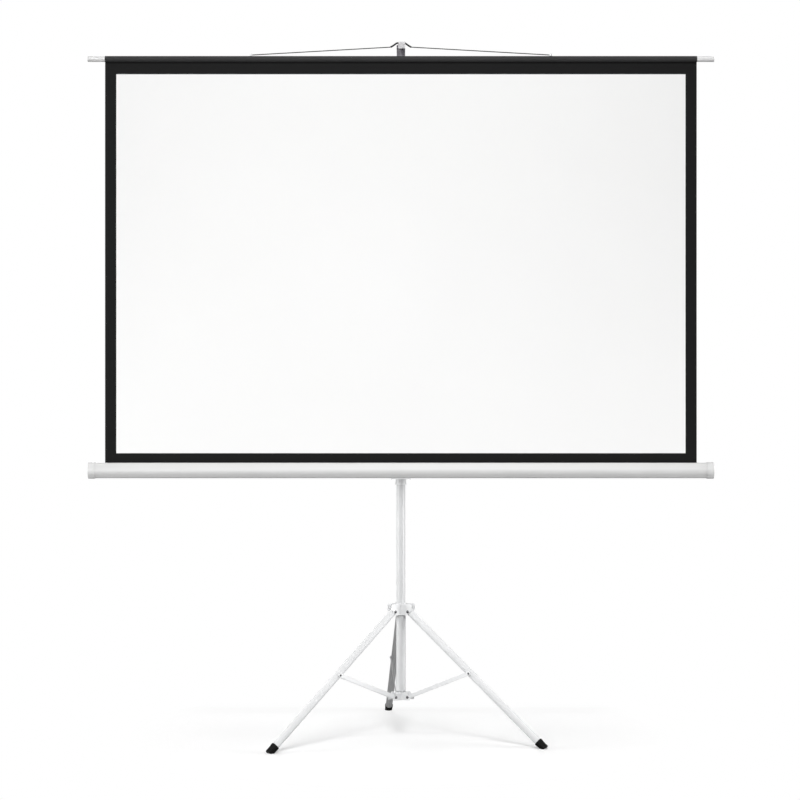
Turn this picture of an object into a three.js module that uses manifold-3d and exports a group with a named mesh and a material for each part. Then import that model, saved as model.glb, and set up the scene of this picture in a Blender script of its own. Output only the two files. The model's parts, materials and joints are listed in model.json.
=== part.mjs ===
// Tripod projection screen: a spring-roller screen in a tubular case, carried on a folding tripod stand.
// Millimetres, +Z up, the image faces -Y. The origin is on the floor, under the middle of the overall box.
import * as THREE from 'three';
import { mergeVertices } from 'three/addons/utils/BufferGeometryUtils.js';
import Module from 'manifold-3d';

const wasm = await Module();
wasm.setup();

// Clearances
const seatGap = 0.3; // between pieces that are fixed to each other
const runGap = 0.4; // between pieces that slide or turn past each other
const bite = 1; // shapes that are joined run this far into each other, and cutters past a face
const cutterReach = 500; // cutters that go right across a piece

// Cloth
const imageWidth = 1750;
const imageHeight = 1165;
const sideBorder = 34.5; // black, either side of the image
const topBorder = 46.5; // image top to the axis of the bar
const bottomBorder = 29; // image bottom to the top of the case
const clothThickness = 0.6;
const woundThickness = 1.1; // cloth left on the roller

// Top bar and its hanger
const barRadius = 8.5;
const barWall = 1;
const barOverhang = 53; // bar end past the edge of the cloth
const barCapThickness = 3;
const barCapPlug = 18;
const hangerHalfSpan = 461; // bar middle to either eye
const eyeHeight = 6;
const eyeRadius = 3;
const eyeEdge = 1;
const wireRadius = 1.4;
const sleeveRadius = 2.7;
const hangerRise = 52.8; // bar axis to the axis of the sleeve on the hook
const hangerShoulder = 30; // hook middle to the bend of the hanger
const shoulderDrop = 12.5;
const crownDrop = 0.5; // fall of the hanger at the side of the hook
const crownShare = 0.25; // shares along the hanger where it bends
const sleeveShare = 0.004;
const wireShares = [0.04, 0.3];

// Case, sizes of its profile from the roller axis
const caseAxisHeight = 826;
const caseRoom = 48; // edge of the cloth to the end of the case
const caseHalfHeight = 23.5;
const caseFront = 25;
const caseRear = 24;
const creaseDrop = 4.2; // front crease, below the axis
const topFrontEdge = 13;
const topRearEdge = 8;
const rearUpperEdge = 12;
const rearLowerEdge = 10;
const bottomRearEdge = 10;
const bottomFrontEdge = 12;
const lowerEdgeRadius = 7;
const upperEdgeRadius = 6;
const slotEdgeRadius = 5;
const leastCorner = 1;
const caseWall = 1;
const slotWidth = 4;
const capLip = 1.6; // cap outside the case all round
const capLength = 20;
const capEndWall = 3;
const capBossRadius = 8;
const capBossLength = 14;

// Spring roller
const rollerRadius = 12.5;
const rollerWall = 1;
const rollerMargin = 5; // roller past the edge of the cloth
const plugLength = 25;
const plugFlange = 3;
const axleRadius = 4;
const arborReach = 215; // arbor inside the roller
const arborCollarRadius = 9;
const arborCollarLength = 6;
const springTurns = 16;
const springRadius = 7;
const springWire = 1.1;

// Saddle and carriage
const saddleWidth = 63;
const saddlePlate = 3;
const saddleTop = 16;
const saddleForward = 10;
const saddleTab = 2.5;
const carriageWall = 3.7;
const carriageBelow = 46; // carriage bottom, below the case axis
const carriageAbove = 22;
const carriageBossFront = 33; // mast axis to the face that the saddle turns on
const carriageBossHalfWidth = 13;
const carriageBossHalfHeight = 16;
const pivotRadius = 4;
const pivotHeadRadius = 7;
const pivotDepth = 12.5; // bolt inside the carriage
const lockBossRadius = 8;
const lockBossEnd = 24; // mast axis to the end of the boss
const lockDrop = 24; // lock screw, below the case axis

// Stand
const mastRadius = 13.5;
const mastWall = 1.2;
const poleRadius = 11;
const poleWall = 1.2;
const poleOverlapBush = 40;
const stowedCaseGap = 176; // floor to the case end when it stands upright
const barParkGap = 3; // bar above the case when the cloth is wound in
const poleCollarBelow = 12;
const poleCollarAbove = 12;
const poleCollarRadius = 17;
const poleBossRadius = 6.5;
const poleBossEnd = 22;
const hookSkirtBottom = 16; // above the bar axis
const hookSkirt = 14;
const hookRadius = 13.2;
const hookPlate = 3;
const hookLipLeft = 8;
const hookLipFront = 34;
const hookLipPlate = 2;
const hookLipBelow = 14.2; // lip below the seat of the sleeve
const hookLipAbove = 6;
const hookArmHalfWidth = 10;
const hookPostFront = 11;
const hookGussetX = 4;
const knobRadius = 14;
const knobLength = 13;
const knobLobes = 5;
const knobLobeDepth = 1;
const screwRadius = 3;

// Folding tripod
const tripodTurn = 5; // degrees, rear leg off the +Y direction
const hingeRadius = 29; // mast axis to the leg and brace pivots
const legPivotHeight = 388;
const legAngle = 49; // degrees from upright
const legRadius = 11;
const legWall = 1.2;
const legHeadroom = 11; // leg past its pivot
const jointHeight = 211; // where the braces meet a leg
const bracePivotHeight = 124.5;
const braceWidth = 12;
const braceThickness = 2;
const footRim = 13;
const footTip = 12.2;
const footLength = 30;
const footRimLength = 7.5;
const footTaperEnd = 10;
const footSole = 18; // leg end to the floor, along the leg
const sleeveWall = 1;
const sleeveLift = 3; // lower hub to the end of the sleeve
const hubCollarWall = 1.9;
const hubPlate = 1.8;
const hubBelowPivot = 11;
const hubAbovePivot = 24;
const hubReach = 42.5;
const hubShoulder = 19; // height of the outer edge of a clevis
const lowerHubBelowPivot = 9.5;
const lowerHubAbovePivot = 14;
const lowerHubReach = 38;
const lowerHubShoulder = 7;
const pinRadius = 3;
const pinHeadRadius = 5;
const pinHead = 2;
const pinHeadEdge = 1.2;
const pinHeadBevel = 1;
const guideRodRadius = 8;
const guideRodWall = 1.5;
const guideRodPastHub = 1;
const endBushLength = 21;
const legNames = ['rear', 'left', 'right'];

// Facets
const roundSides = 20;
const smallSides = 10;
const cornerSteps = 4;
const curveSteps = 6;
const lobeSteps = 6;
const springSteps = 8;
const springSides = 5;
const wireSides = 8;
const routeSteps = 2;

// Materials
const paint = (color, roughness, metalness) =>
  new THREE.MeshStandardMaterial({ color, roughness, metalness });
const greyPaint = () => paint(0xd9dadb, 0.45, 0.1);
const casePaint = () => paint(0xe8e8e6, 0.5, 0.05);
const brightSteel = () => paint(0xb9bbbd, 0.35, 0.9);
const blackRubber = () => paint(0x151515, 0.85, 0);
const blackPlastic = () => paint(0x1b1b1c, 0.55, 0);
const blackCloth = () => paint(0x1e1e1e, 0.9, 0);
const whiteCloth = () => paint(0xf4f4f2, 0.85, 0);

// Solids and booleans
function toSolid(geometry) {
  const bare = geometry.clone();
  bare.deleteAttribute('normal');
  bare.deleteAttribute('uv');
  const merged = mergeVertices(bare);
  return new wasm.Manifold(new wasm.Mesh({
    numProp: 3,
    vertProperties: new Float32Array(merged.attributes.position.array),
    triVerts: new Uint32Array(merged.index.array),
  }));
}

function toGeometry(solid) {
  const mesh = solid.getMesh();
  const geometry = new THREE.BufferGeometry();
  geometry.setAttribute('position', new THREE.BufferAttribute(mesh.vertProperties, 3));
  geometry.setIndex(new THREE.BufferAttribute(mesh.triVerts, 1));
  geometry.computeVertexNormals();
  return geometry;
}

const joined = (...shapes) =>
  toGeometry(shapes.map(toSolid).reduce((sum, next) => sum.add(next)));
const cut = (shape, ...tools) =>
  toGeometry(tools.map(toSolid).reduce((rest, tool) => rest.subtract(tool), toSolid(shape)));

// A turned shape about Z: the profile is [radius, height] pairs, anticlockwise
function turned(profile, sides = roundSides) {
  const points = profile.map(([radius, height]) => new THREE.Vector2(radius, height));
  return new THREE.LatheGeometry(points, sides).rotateX(Math.PI / 2);
}

const rod = (radius, from, to, sides = roundSides) =>
  turned([[0, from], [radius, from], [radius, to], [0, to]], sides);
const pipe = (outer, inner, from, to, sides = roundSides) =>
  turned([[inner, from], [outer, from], [outer, to], [inner, to], [inner, from]], sides);
const alongX = (geometry) => geometry.rotateY(Math.PI / 2);
const alongY = (geometry) => geometry.rotateX(-Math.PI / 2);

function block(x0, x1, y0, y1, z0, z1) {
  const geometry = new THREE.BoxGeometry(x1 - x0, y1 - y0, z1 - z0);
  return geometry.translate((x0 + x1) / 2, (y0 + y1) / 2, (z0 + z1) / 2);
}

const flat = (points) => new THREE.Shape(points.map(([x, y]) => new THREE.Vector2(x, y)));

function extruded(shape, depth) {
  return new THREE.ExtrudeGeometry(shape, { depth, bevelEnabled: false, curveSegments: curveSteps });
}

// A profile in Y and Z, drawn out along X
function profileAlongX(shape, from, to) {
  const axes = new THREE.Matrix4().set(0, 0, 1, 0, 1, 0, 0, 0, 0, 1, 0, 0, 0, 0, 0, 1);
  return extruded(shape, to - from).applyMatrix4(axes).translate(from, 0, 0);
}

// A plate drawn in X and Z, with its thickness from one Y to the other
function plateAcrossY(shape, from, to) {
  return extruded(shape, to - from).rotateX(Math.PI / 2).translate(0, to, 0);
}

// A corner list [y, z, radius] with every edge moved outwards
function offsetCorners(corners, distance) {
  const count = corners.length;
  const edges = corners.map(([y, z], i) => {
    const [nextY, nextZ] = corners[(i + 1) % count];
    const length = Math.hypot(nextY - y, nextZ - z);
    const normal = [(nextZ - z) / length, -(nextY - y) / length];
    return { normal, reach: normal[0] * y + normal[1] * z + distance };
  });
  return corners.map(([, , radius], i) => {
    const before = edges[(i + count - 1) % count];
    const after = edges[i];
    const det = before.normal[0] * after.normal[1] - before.normal[1] * after.normal[0];
    const y = (before.reach * after.normal[1] - before.normal[1] * after.reach) / det;
    const z = (before.normal[0] * after.reach - before.reach * after.normal[0]) / det;
    return [y, z, Math.max(radius + distance, leastCorner)];
  });
}

// The outline of a corner list, each corner an arc of its own radius
function roundedOutline(corners) {
  const count = corners.length;
  const outline = [];
  corners.forEach(([y, z, radius], i) => {
    const corner = new THREE.Vector2(y, z);
    const back = new THREE.Vector2(...corners[(i + count - 1) % count]).sub(corner).normalize();
    const ahead = new THREE.Vector2(...corners[(i + 1) % count]).sub(corner).normalize();
    const half = Math.acos(THREE.MathUtils.clamp(back.dot(ahead), -1, 1)) / 2;
    const middle = back.clone().add(ahead).normalize();
    const centre = corner.clone().addScaledVector(middle, radius / Math.sin(half));
    const start = corner.clone().addScaledVector(back, radius / Math.tan(half)).sub(centre);
    const turn = Math.PI - 2 * half;
    for (let step = 0; step <= cornerSteps; step += 1) {
      const arm = start.clone().rotateAround(new THREE.Vector2(), turn * step / cornerSteps);
      outline.push(centre.clone().add(arm));
    }
  });
  return new THREE.Shape(outline);
}

// A tube along control points, with the same number of steps between each pair
class Route extends THREE.CatmullRomCurve3 {
  getUtoTmapping(u) {
    return u;
  }
}

function tubeAlong(points, radius, sides, stepsEach, bore = 0) {
  const turns = Array.from({ length: sides }, (_, i) => i * 2 * Math.PI / sides);
  const circle = (size) => turns.map((turn) => [size * Math.cos(turn), size * Math.sin(turn)]);
  const ring = flat(circle(radius));
  if (bore) ring.holes.push(flat(circle(bore)));
  const extrudePath = new Route(points, false, 'centripetal');
  return new THREE.ExtrudeGeometry(ring, { steps: (points.length - 1) * stepsEach, extrudePath });
}

const screen = new THREE.Group();
const assembly = new THREE.Group();
screen.add(assembly);

function place(name, geometry, material, parent = assembly) {
  const mesh = new THREE.Mesh(geometry, material);
  mesh.name = name;
  parent.add(mesh);
}

// Heights and depths that follow from the driving sizes
const clothWidth = imageWidth + 2 * sideBorder;
const caseLength = clothWidth + 2 * caseRoom;
const hubBottom = legPivotHeight - hubBelowPivot;
const hubTop = legPivotHeight + hubAbovePivot;
const lowerHubBottom = bracePivotHeight - lowerHubBelowPivot;
const lowerHubTop = bracePivotHeight + lowerHubAbovePivot;
const guideRodTop = hubTop + guideRodPastHub;
const barHeight = caseAxisHeight + caseHalfHeight + bottomBorder + imageHeight + topBorder;
const hemRadius = barRadius + seatGap + clothThickness;
const saddleRear = carriageBossFront + runGap;
const caseAxisY = -(saddleRear + saddlePlate + seatGap + caseRear);
const woundRadius = rollerRadius + seatGap + woundThickness;
const clothY = caseAxisY + woundRadius + seatGap + clothThickness / 2;
const barParkHeight = caseHalfHeight + hemRadius + barParkGap;
const stowedCaseHeight = stowedCaseGap + caseLength / 2;
const poleTravel = barHeight - stowedCaseHeight - barParkHeight;
const sleeveBottom = lowerHubTop + sleeveLift;
const poleBottom = sleeveBottom + endBushLength + runGap + poleTravel;
const carriageStop = stowedCaseHeight + carriageAbove + runGap;
const mastTop = carriageStop + poleCollarBelow;
const hookSeat = barHeight + hangerRise - sleeveRadius - seatGap;
const poleTop = barHeight + hookSkirtBottom + hookSkirt;

// Mast with its lower sleeve
function buildMast() {
  place('mast_tube', pipe(mastRadius, mastRadius - mastWall, sleeveBottom, mastTop), greyPaint());
  const boreRadius = mastRadius - mastWall;
  place('mast_end_bush', pipe(boreRadius - seatGap, guideRodRadius + runGap, sleeveBottom,
    sleeveBottom + endBushLength), blackPlastic());
  const sleeveInner = mastRadius + seatGap;
  place('mast_sleeve', pipe(sleeveInner + sleeveWall, sleeveInner, sleeveBottom, hubTop), greyPaint());
}

// The two plates of one clevis, drawn in the plane of its leg and let into the collar
function clevis(collarRadius, near, height, reach, shoulder, wideAtTop) {
  const [bottom, top] = height;
  const inner = Math.sqrt(collarRadius ** 2 - near ** 2) - hubPlate;
  const slopeStart = hingeRadius - pinHeadRadius;
  const outline = wideAtTop
    ? [[inner, bottom], [slopeStart, bottom], [reach, top - shoulder], [reach, top], [inner, top]]
    : [[inner, bottom], [reach, bottom], [reach, bottom + shoulder], [slopeStart, top], [inner, top]];
  return [near, -near - hubPlate].map((from) => plateAcrossY(flat(outline), from, from + hubPlate));
}

// A collar with a clevis for each leg, and a flat web on the collar between each two clevises
function hub(collarRadius, bore, height, near, reach, shoulder, wideAtTop, pivotHeight) {
  const [bottom, top] = height;
  const turns = legNames.map((_, i) => i * 2 * Math.PI / legNames.length);
  const gap = Math.PI / legNames.length;
  const webMeets = (collarRadius - near * Math.sin(gap)) / Math.cos(gap);
  const webHalf = Math.max(webMeets * Math.sin(gap) - near * Math.cos(gap), hubPlate);
  const webFace = collarRadius + hubPlate / 2;
  const web = () => block(collarRadius - hubPlate, webFace, -webHalf, webHalf, bottom, top);
  const plates = turns.flatMap((turn) => [
    ...clevis(collarRadius, near, height, reach, shoulder, wideAtTop).map((plate) => plate.rotateZ(turn)),
    web().rotateZ(turn + gap),
  ]);
  const pinBores = turns.map((turn) =>
    alongY(rod(pinRadius + runGap, -2 * hingeRadius, 2 * hingeRadius, smallSides))
      .translate(hingeRadius, 0, pivotHeight).rotateZ(turn));
  const shaft = rod(bore, bottom - bite, top + bite);
  return cut(joined(rod(collarRadius, bottom, top), ...plates), shaft, ...pinBores).rotateZ(rearAzimuth);
}

const legClevis = legRadius + runGap;
const braceNear = legRadius + runGap;
const braceClevis = braceNear + braceThickness + runGap;
const hubCollarRadius = mastRadius + 2 * seatGap + sleeveWall + hubCollarWall;
const rearAzimuth = THREE.MathUtils.degToRad(90 + tripodTurn);

function buildHubs() {
  const sleeveOuter = mastRadius + seatGap + sleeveWall;
  const upper = hub(hubCollarRadius, sleeveOuter + seatGap, [hubBottom, hubTop], legClevis,
    hubReach, hubShoulder, true, legPivotHeight);
  place('upper_hub', upper, greyPaint());
  const lower = hub(hubCollarRadius, guideRodRadius + seatGap, [lowerHubBottom, lowerHubTop], braceClevis,
    lowerHubReach, lowerHubShoulder, false, bracePivotHeight);
  place('lower_hub', lower, greyPaint());
  place('guide_rod', pipe(guideRodRadius, guideRodRadius - guideRodWall, lowerHubBottom, guideRodTop),
    brightSteel());
}

// Leg, foot, two braces and the rivets of one side of the tripod, in the plane of that leg
const legSlope = THREE.MathUtils.degToRad(legAngle);
const legReach = legPivotHeight / Math.cos(legSlope);
const alongLeg = (geometry) =>
  geometry.rotateY(Math.PI - legSlope).translate(hingeRadius, 0, legPivotHeight);
const jointRadius = hingeRadius + (legPivotHeight - jointHeight) * Math.tan(legSlope);

function braceOutline() {
  const rise = Math.atan2(jointHeight - bracePivotHeight, jointRadius - hingeRadius);
  const half = braceWidth / 2;
  const outline = new THREE.Shape();
  outline.absarc(hingeRadius, bracePivotHeight, half, rise + Math.PI / 2, rise + 1.5 * Math.PI);
  outline.absarc(jointRadius, jointHeight, half, rise - Math.PI / 2, rise + Math.PI / 2);
  const bore = new THREE.Path();
  bore.absarc(hingeRadius, bracePivotHeight, pinRadius + runGap, 0, 2 * Math.PI, true);
  outline.holes.push(bore);
  return outline;
}

// A rivet from one Y to another, with a low domed head on each end that is asked for
function rivet(from, to, headAtStart, headAtEnd) {
  const profile = [[0, from]];
  if (headAtStart) {
    profile[0] = [0, from - pinHead];
    profile.push([pinHeadRadius - pinHeadBevel, from - pinHeadEdge], [pinHeadRadius, from]);
  }
  profile.push([pinRadius, from], [pinRadius, to]);
  if (headAtEnd) {
    profile.push([pinHeadRadius, to], [pinHeadRadius - pinHeadBevel, to + pinHeadEdge]);
    profile.push([0, to + pinHead]);
  } else {
    profile.push([0, to]);
  }
  return alongY(turned(profile, smallSides));
}

function buildLeg(name, azimuth) {
  const plane = new THREE.Group();
  plane.rotation.z = azimuth;
  assembly.add(plane);

  const tube = alongLeg(pipe(legRadius, legRadius - legWall, -legHeadroom, legReach - footSole));
  const mitre = block(-cutterReach, hubCollarRadius + bite, -cutterReach, cutterReach, 0, 2 * cutterReach);
  const bore = alongY(rod(pinRadius + seatGap, -cutterReach, cutterReach, smallSides))
    .translate(hingeRadius, 0, legPivotHeight);
  place(`leg_${name}`, cut(tube, mitre, bore), greyPaint(), plane);

  const pocket = legRadius + seatGap;
  const footTop = legReach - footLength;
  const legEnd = legReach - footSole + seatGap;
  const cap = alongLeg(turned([[0, legEnd], [pocket, legEnd], [pocket, footTop], [footRim, footTop],
    [footRim, footTop + footRimLength], [footTip, footTop + footTaperEnd], [footTip, legReach],
    [0, legReach]]));
  const floor = block(0, 2 * cutterReach, -cutterReach, cutterReach, -cutterReach, 0);
  place(`foot_${name}`, cut(cap, floor), blackRubber(), plane);

  const pinHalf = legClevis + hubPlate + seatGap;
  const pin = rivet(-pinHalf, pinHalf, true, true).translate(hingeRadius, 0, legPivotHeight);
  place(`leg_pin_${name}`, pin, brightSteel(), plane);

  const braceFar = braceNear + braceThickness;
  [['a', 1], ['b', -1]].forEach(([side, sign]) => {
    const from = sign > 0 ? braceNear : -braceFar;
    const strap = plateAcrossY(braceOutline(), from, from + braceThickness);
    const facing = sign > 0 ? 0 : Math.PI;
    const head = rivet(braceNear + braceThickness / 2, braceFar, false, true).rotateZ(facing);
    head.translate(jointRadius, 0, jointHeight);
    place(`brace_${name}_${side}`, joined(strap, head), greyPaint(), plane);

    const stubEnd = braceClevis + hubPlate + seatGap;
    const stub = rivet(braceNear + seatGap / 2, stubEnd, false, true).rotateZ(facing);
    stub.translate(hingeRadius, 0, bracePivotHeight);
    place(`brace_rivet_${name}_${side}`, stub, brightSteel(), plane);
  });
}

// A lobed knob on a clamping screw, its screw tip at the start of +Y
function knob(tip, face) {
  const rim = [];
  const points = lobeSteps * knobLobes;
  for (let i = 0; i < points; i += 1) {
    const angle = i * 2 * Math.PI / points;
    const radius = knobRadius - knobLobeDepth * (1 - Math.cos(angle * knobLobes));
    rim.push([radius * Math.cos(angle), radius * Math.sin(angle)]);
  }
  const head = plateAcrossY(flat(rim), face, face + knobLength);
  return joined(head, alongY(rod(screwRadius, tip, face + bite, smallSides)));
}

// Extension pole, its lock and the hook that holds the hanger
function buildPole() {
  place('extension_pole', pipe(poleRadius, poleRadius - poleWall, poleBottom, poleTop), brightSteel());
  place('pole_guide_bush', pipe(mastRadius - mastWall - runGap, poleRadius + seatGap / 2, poleBottom,
    poleBottom + poleOverlapBush), blackPlastic());

  const collarTop = mastTop + poleCollarAbove;
  const bossHeight = mastTop + poleCollarAbove / 2;
  const overMast = mastRadius + seatGap;
  const overPole = poleRadius + runGap;
  const step = mastTop + seatGap;
  const body = turned([[overMast, carriageStop], [poleCollarRadius, carriageStop],
    [poleCollarRadius, collarTop], [overPole, collarTop], [overPole, step], [overMast, step],
    [overMast, carriageStop]]);
  const bossSides = alongY(rod(poleBossRadius, poleCollarRadius - 2 * bite, poleBossEnd, smallSides));
  const limit = block(-cutterReach, cutterReach, 0, cutterReach, carriageStop, collarTop);
  const boss = toGeometry(toSolid(bossSides.translate(0, 0, bossHeight)).intersect(toSolid(limit)));
  const bore = alongY(rod(screwRadius + runGap, 0, cutterReach, smallSides)).translate(0, 0, bossHeight);
  place('pole_lock_collar', cut(joined(body, boss), bore), blackPlastic());
  place('pole_lock_knob', knob(poleRadius + seatGap, poleBossEnd + runGap).translate(0, 0, bossHeight),
    blackPlastic());
}

function buildHook() {
  const skirtBottom = barHeight + hookSkirtBottom;
  const diskTop = poleTop + seatGap + hookPlate;
  const cap = turned([[poleRadius + seatGap, skirtBottom], [hookRadius, skirtBottom], [hookRadius, diskTop],
    [0, diskTop], [0, poleTop + seatGap], [poleRadius + seatGap, poleTop + seatGap],
    [poleRadius + seatGap, skirtBottom]]);
  const post = block(-hookRadius, hookRadius, -hookPostFront, hookPlate - hookPostFront,
    diskTop - bite, hookSeat);
  const base = block(-hookRadius, hookRadius, -hookPostFront, 0, diskTop - hookPlate, diskTop);
  const arm = block(-hookArmHalfWidth, hookArmHalfWidth, -hookLipFront, hookPlate - hookPostFront,
    hookSeat - hookPlate, hookSeat);
  const lip = block(-hookLipLeft, hookRadius, -hookLipFront, hookLipPlate - hookLipFront,
    hookSeat - hookLipBelow, hookSeat + hookLipAbove);
  const armMiddle = hookSeat - hookPlate / 2;
  const gussetRear = bite - hookPostFront;
  const gusset = profileAlongX(flat([[gussetRear, diskTop - bite], [gussetRear, armMiddle],
    [hookLipPlate - hookLipFront, armMiddle]]), hookGussetX, hookGussetX + hookLipPlate);
  place('hook_bracket', joined(cap, base, post, arm, lip, gusset), greyPaint());
}

// Carriage on the mast, its lock, the pivot bolt and the saddle under the case
function buildCarriage() {
  const bore = mastRadius + runGap;
  const bottom = caseAxisHeight - carriageBelow;
  const top = caseAxisHeight + carriageAbove;
  const collar = rod(bore + carriageWall, bottom, top);
  const boss = block(-carriageBossHalfWidth, carriageBossHalfWidth, -carriageBossFront, 0,
    caseAxisHeight - carriageBossHalfHeight, caseAxisHeight + carriageBossHalfHeight);
  const lockHeight = caseAxisHeight - lockDrop;
  const lockBoss = alongY(rod(lockBossRadius, 0, lockBossEnd, smallSides)).translate(0, 0, lockHeight);
  const boltEnd = pivotDepth - carriageBossFront;
  const pivotBore = alongY(rod(pivotRadius + seatGap, -cutterReach, boltEnd + seatGap))
    .translate(0, 0, caseAxisHeight);
  const screwBore = alongY(rod(screwRadius + runGap, 0, cutterReach, smallSides)).translate(0, 0, lockHeight);
  const shaft = rod(bore, bottom - bite, top + bite);
  place('carriage', cut(joined(collar, boss, lockBoss), shaft, pivotBore, screwBore), greyPaint());
  place('carriage_lock_knob', knob(mastRadius + seatGap, lockBossEnd + runGap).translate(0, 0, lockHeight),
    blackPlastic());

  const boltFront = -(saddleRear + saddlePlate - seatGap / 2);
  const coneBack = -(saddleRear + runGap);
  const bolt = alongY(turned([[0, boltFront], [pivotHeadRadius, boltFront], [pivotRadius, coneBack],
    [pivotRadius, boltEnd], [0, boltEnd]]));
  place('case_pivot_bolt', bolt.translate(0, 0, caseAxisHeight), brightSteel());

  const under = -caseHalfHeight - seatGap;
  const rear = caseRear + seatGap;
  const below = under - saddlePlate;
  const behind = rear + saddlePlate;
  const bend = flat([[-saddleForward, below], [behind, below], [behind, saddleTop], [rear, saddleTop],
    [rear, under], [-saddleForward, under]]);
  const strap = profileAlongX(bend, -saddleWidth / 2, saddleWidth / 2);
  const tabs = [-1, 1].map((side) => block(side * saddleWidth / 2 - saddlePlate / 2,
    side * saddleWidth / 2 + saddlePlate / 2, -saddleForward, behind, below - saddleTab, under - bite));
  const seat = joined(strap, ...tabs).translate(0, caseAxisY, caseAxisHeight);
  const mouth = boltFront - bite;
  const countersink = alongY(turned([[0, mouth], [pivotHeadRadius + 2 * runGap, mouth],
    [pivotHeadRadius + runGap, boltFront], [pivotRadius + runGap, coneBack], [pivotRadius + runGap, 0],
    [0, 0]]));
  place('case_saddle', cut(seat, countersink.translate(0, 0, caseAxisHeight)), greyPaint());
}

// Case profile, anticlockwise seen from +X: corners are [y, z, radius] from the roller axis
const caseCorners = [
  [-caseFront, -creaseDrop, lowerEdgeRadius],
  [-bottomFrontEdge, -caseHalfHeight, lowerEdgeRadius],
  [bottomRearEdge, -caseHalfHeight, lowerEdgeRadius],
  [caseRear, -rearLowerEdge, lowerEdgeRadius],
  [caseRear, rearUpperEdge, upperEdgeRadius],
  [topRearEdge, caseHalfHeight, slotEdgeRadius],
  [-topFrontEdge, caseHalfHeight, upperEdgeRadius],
];

function caseProfile(offset, from, to) {
  const outline = roundedOutline(offsetCorners(caseCorners, offset));
  return profileAlongX(outline, from, to).translate(0, caseAxisY, caseAxisHeight);
}

const onRollerAxis = (geometry) => alongX(geometry).translate(0, caseAxisY, caseAxisHeight);
const capInner = caseLength / 2 - capEndWall;
const rollerHalf = clothWidth / 2 + rollerMargin;

function buildCase() {
  const half = capInner - seatGap;
  const slotY = clothY - slotWidth / 2;
  const slot = block(-rollerHalf, rollerHalf, slotY, slotY + slotWidth, caseAxisHeight + rearUpperEdge / 2,
    caseAxisHeight + 2 * caseHalfHeight);
  const tube = cut(caseProfile(0, -half, half), caseProfile(-caseWall, -caseLength, caseLength), slot);
  place('case_tube', tube, casePaint());

  [['left', -1], ['right', 1]].forEach(([side, sign]) => {
    const span = (from, to) => (sign > 0 ? [from, to] : [-to, -from]);
    const shell = caseProfile(capLip, ...span(caseLength / 2 - capLength, caseLength / 2));
    const pocket = caseProfile(seatGap, ...span(caseLength / 2 - 2 * capLength, capInner));
    const boss = onRollerAxis(rod(capBossRadius, ...span(capInner - capBossLength, capInner + bite)));
    const bore = onRollerAxis(rod(axleRadius + seatGap, ...span(0, capInner)));
    place(`case_cap_${side}`, cut(joined(cut(shell, pocket), boss), bore), casePaint());
  });
}

function buildRoller() {
  place('roller_tube', onRollerAxis(pipe(rollerRadius, rollerRadius - rollerWall, -rollerHalf, rollerHalf)),
    brightSteel());
  const wound = pipe(woundRadius, rollerRadius + seatGap, -clothWidth / 2, clothWidth / 2);
  place('cloth_roll', onRollerAxis(wound), blackCloth());
  const plugRadius = rollerRadius - rollerWall - seatGap;
  const plugInner = rollerHalf - plugLength;
  const axleBore = axleRadius + runGap;
  const flangeStart = rollerHalf + seatGap;
  const flangeEnd = flangeStart + plugFlange;
  const plug = () => turned([[axleBore, plugInner], [plugRadius, plugInner], [plugRadius, flangeStart],
    [rollerRadius, flangeStart], [rollerRadius, flangeEnd], [axleBore, flangeEnd], [axleBore, plugInner]]);
  place('roller_plug_left', onRollerAxis(plug().rotateX(Math.PI)), blackPlastic());
  place('roller_plug_right', onRollerAxis(plug()), blackPlastic());

  const axleEnd = capInner - seatGap;
  place('gudgeon_pin', onRollerAxis(rod(axleRadius, -axleEnd, -plugInner)), brightSteel());
  const collarEnd = rollerHalf - arborReach;
  const arbor = turned([[0, collarEnd], [arborCollarRadius, collarEnd],
    [arborCollarRadius, collarEnd + arborCollarLength], [axleRadius, collarEnd + arborCollarLength],
    [axleRadius, axleEnd], [0, axleEnd]]);
  place('spring_arbor', onRollerAxis(arbor), brightSteel());

  const springFrom = collarEnd + arborCollarLength + seatGap;
  const springTo = plugInner - seatGap;
  const steps = springTurns * springSteps;
  const lead = 2 * springWire;
  const points = [new THREE.Vector3(springFrom, springRadius, 0)];
  for (let i = 0; i <= steps; i += 1) {
    const turn = i * 2 * Math.PI / springSteps;
    const along = springFrom + lead + (springTo - springFrom - 2 * lead) * i / steps;
    points.push(new THREE.Vector3(along, springRadius * Math.cos(turn), springRadius * Math.sin(turn)));
  }
  points.push(new THREE.Vector3(springTo, springRadius, 0));
  const spring = tubeAlong(points, springWire, springSides, 1).translate(0, caseAxisY, caseAxisHeight);
  place('roller_spring', spring, brightSteel());
}

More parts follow.
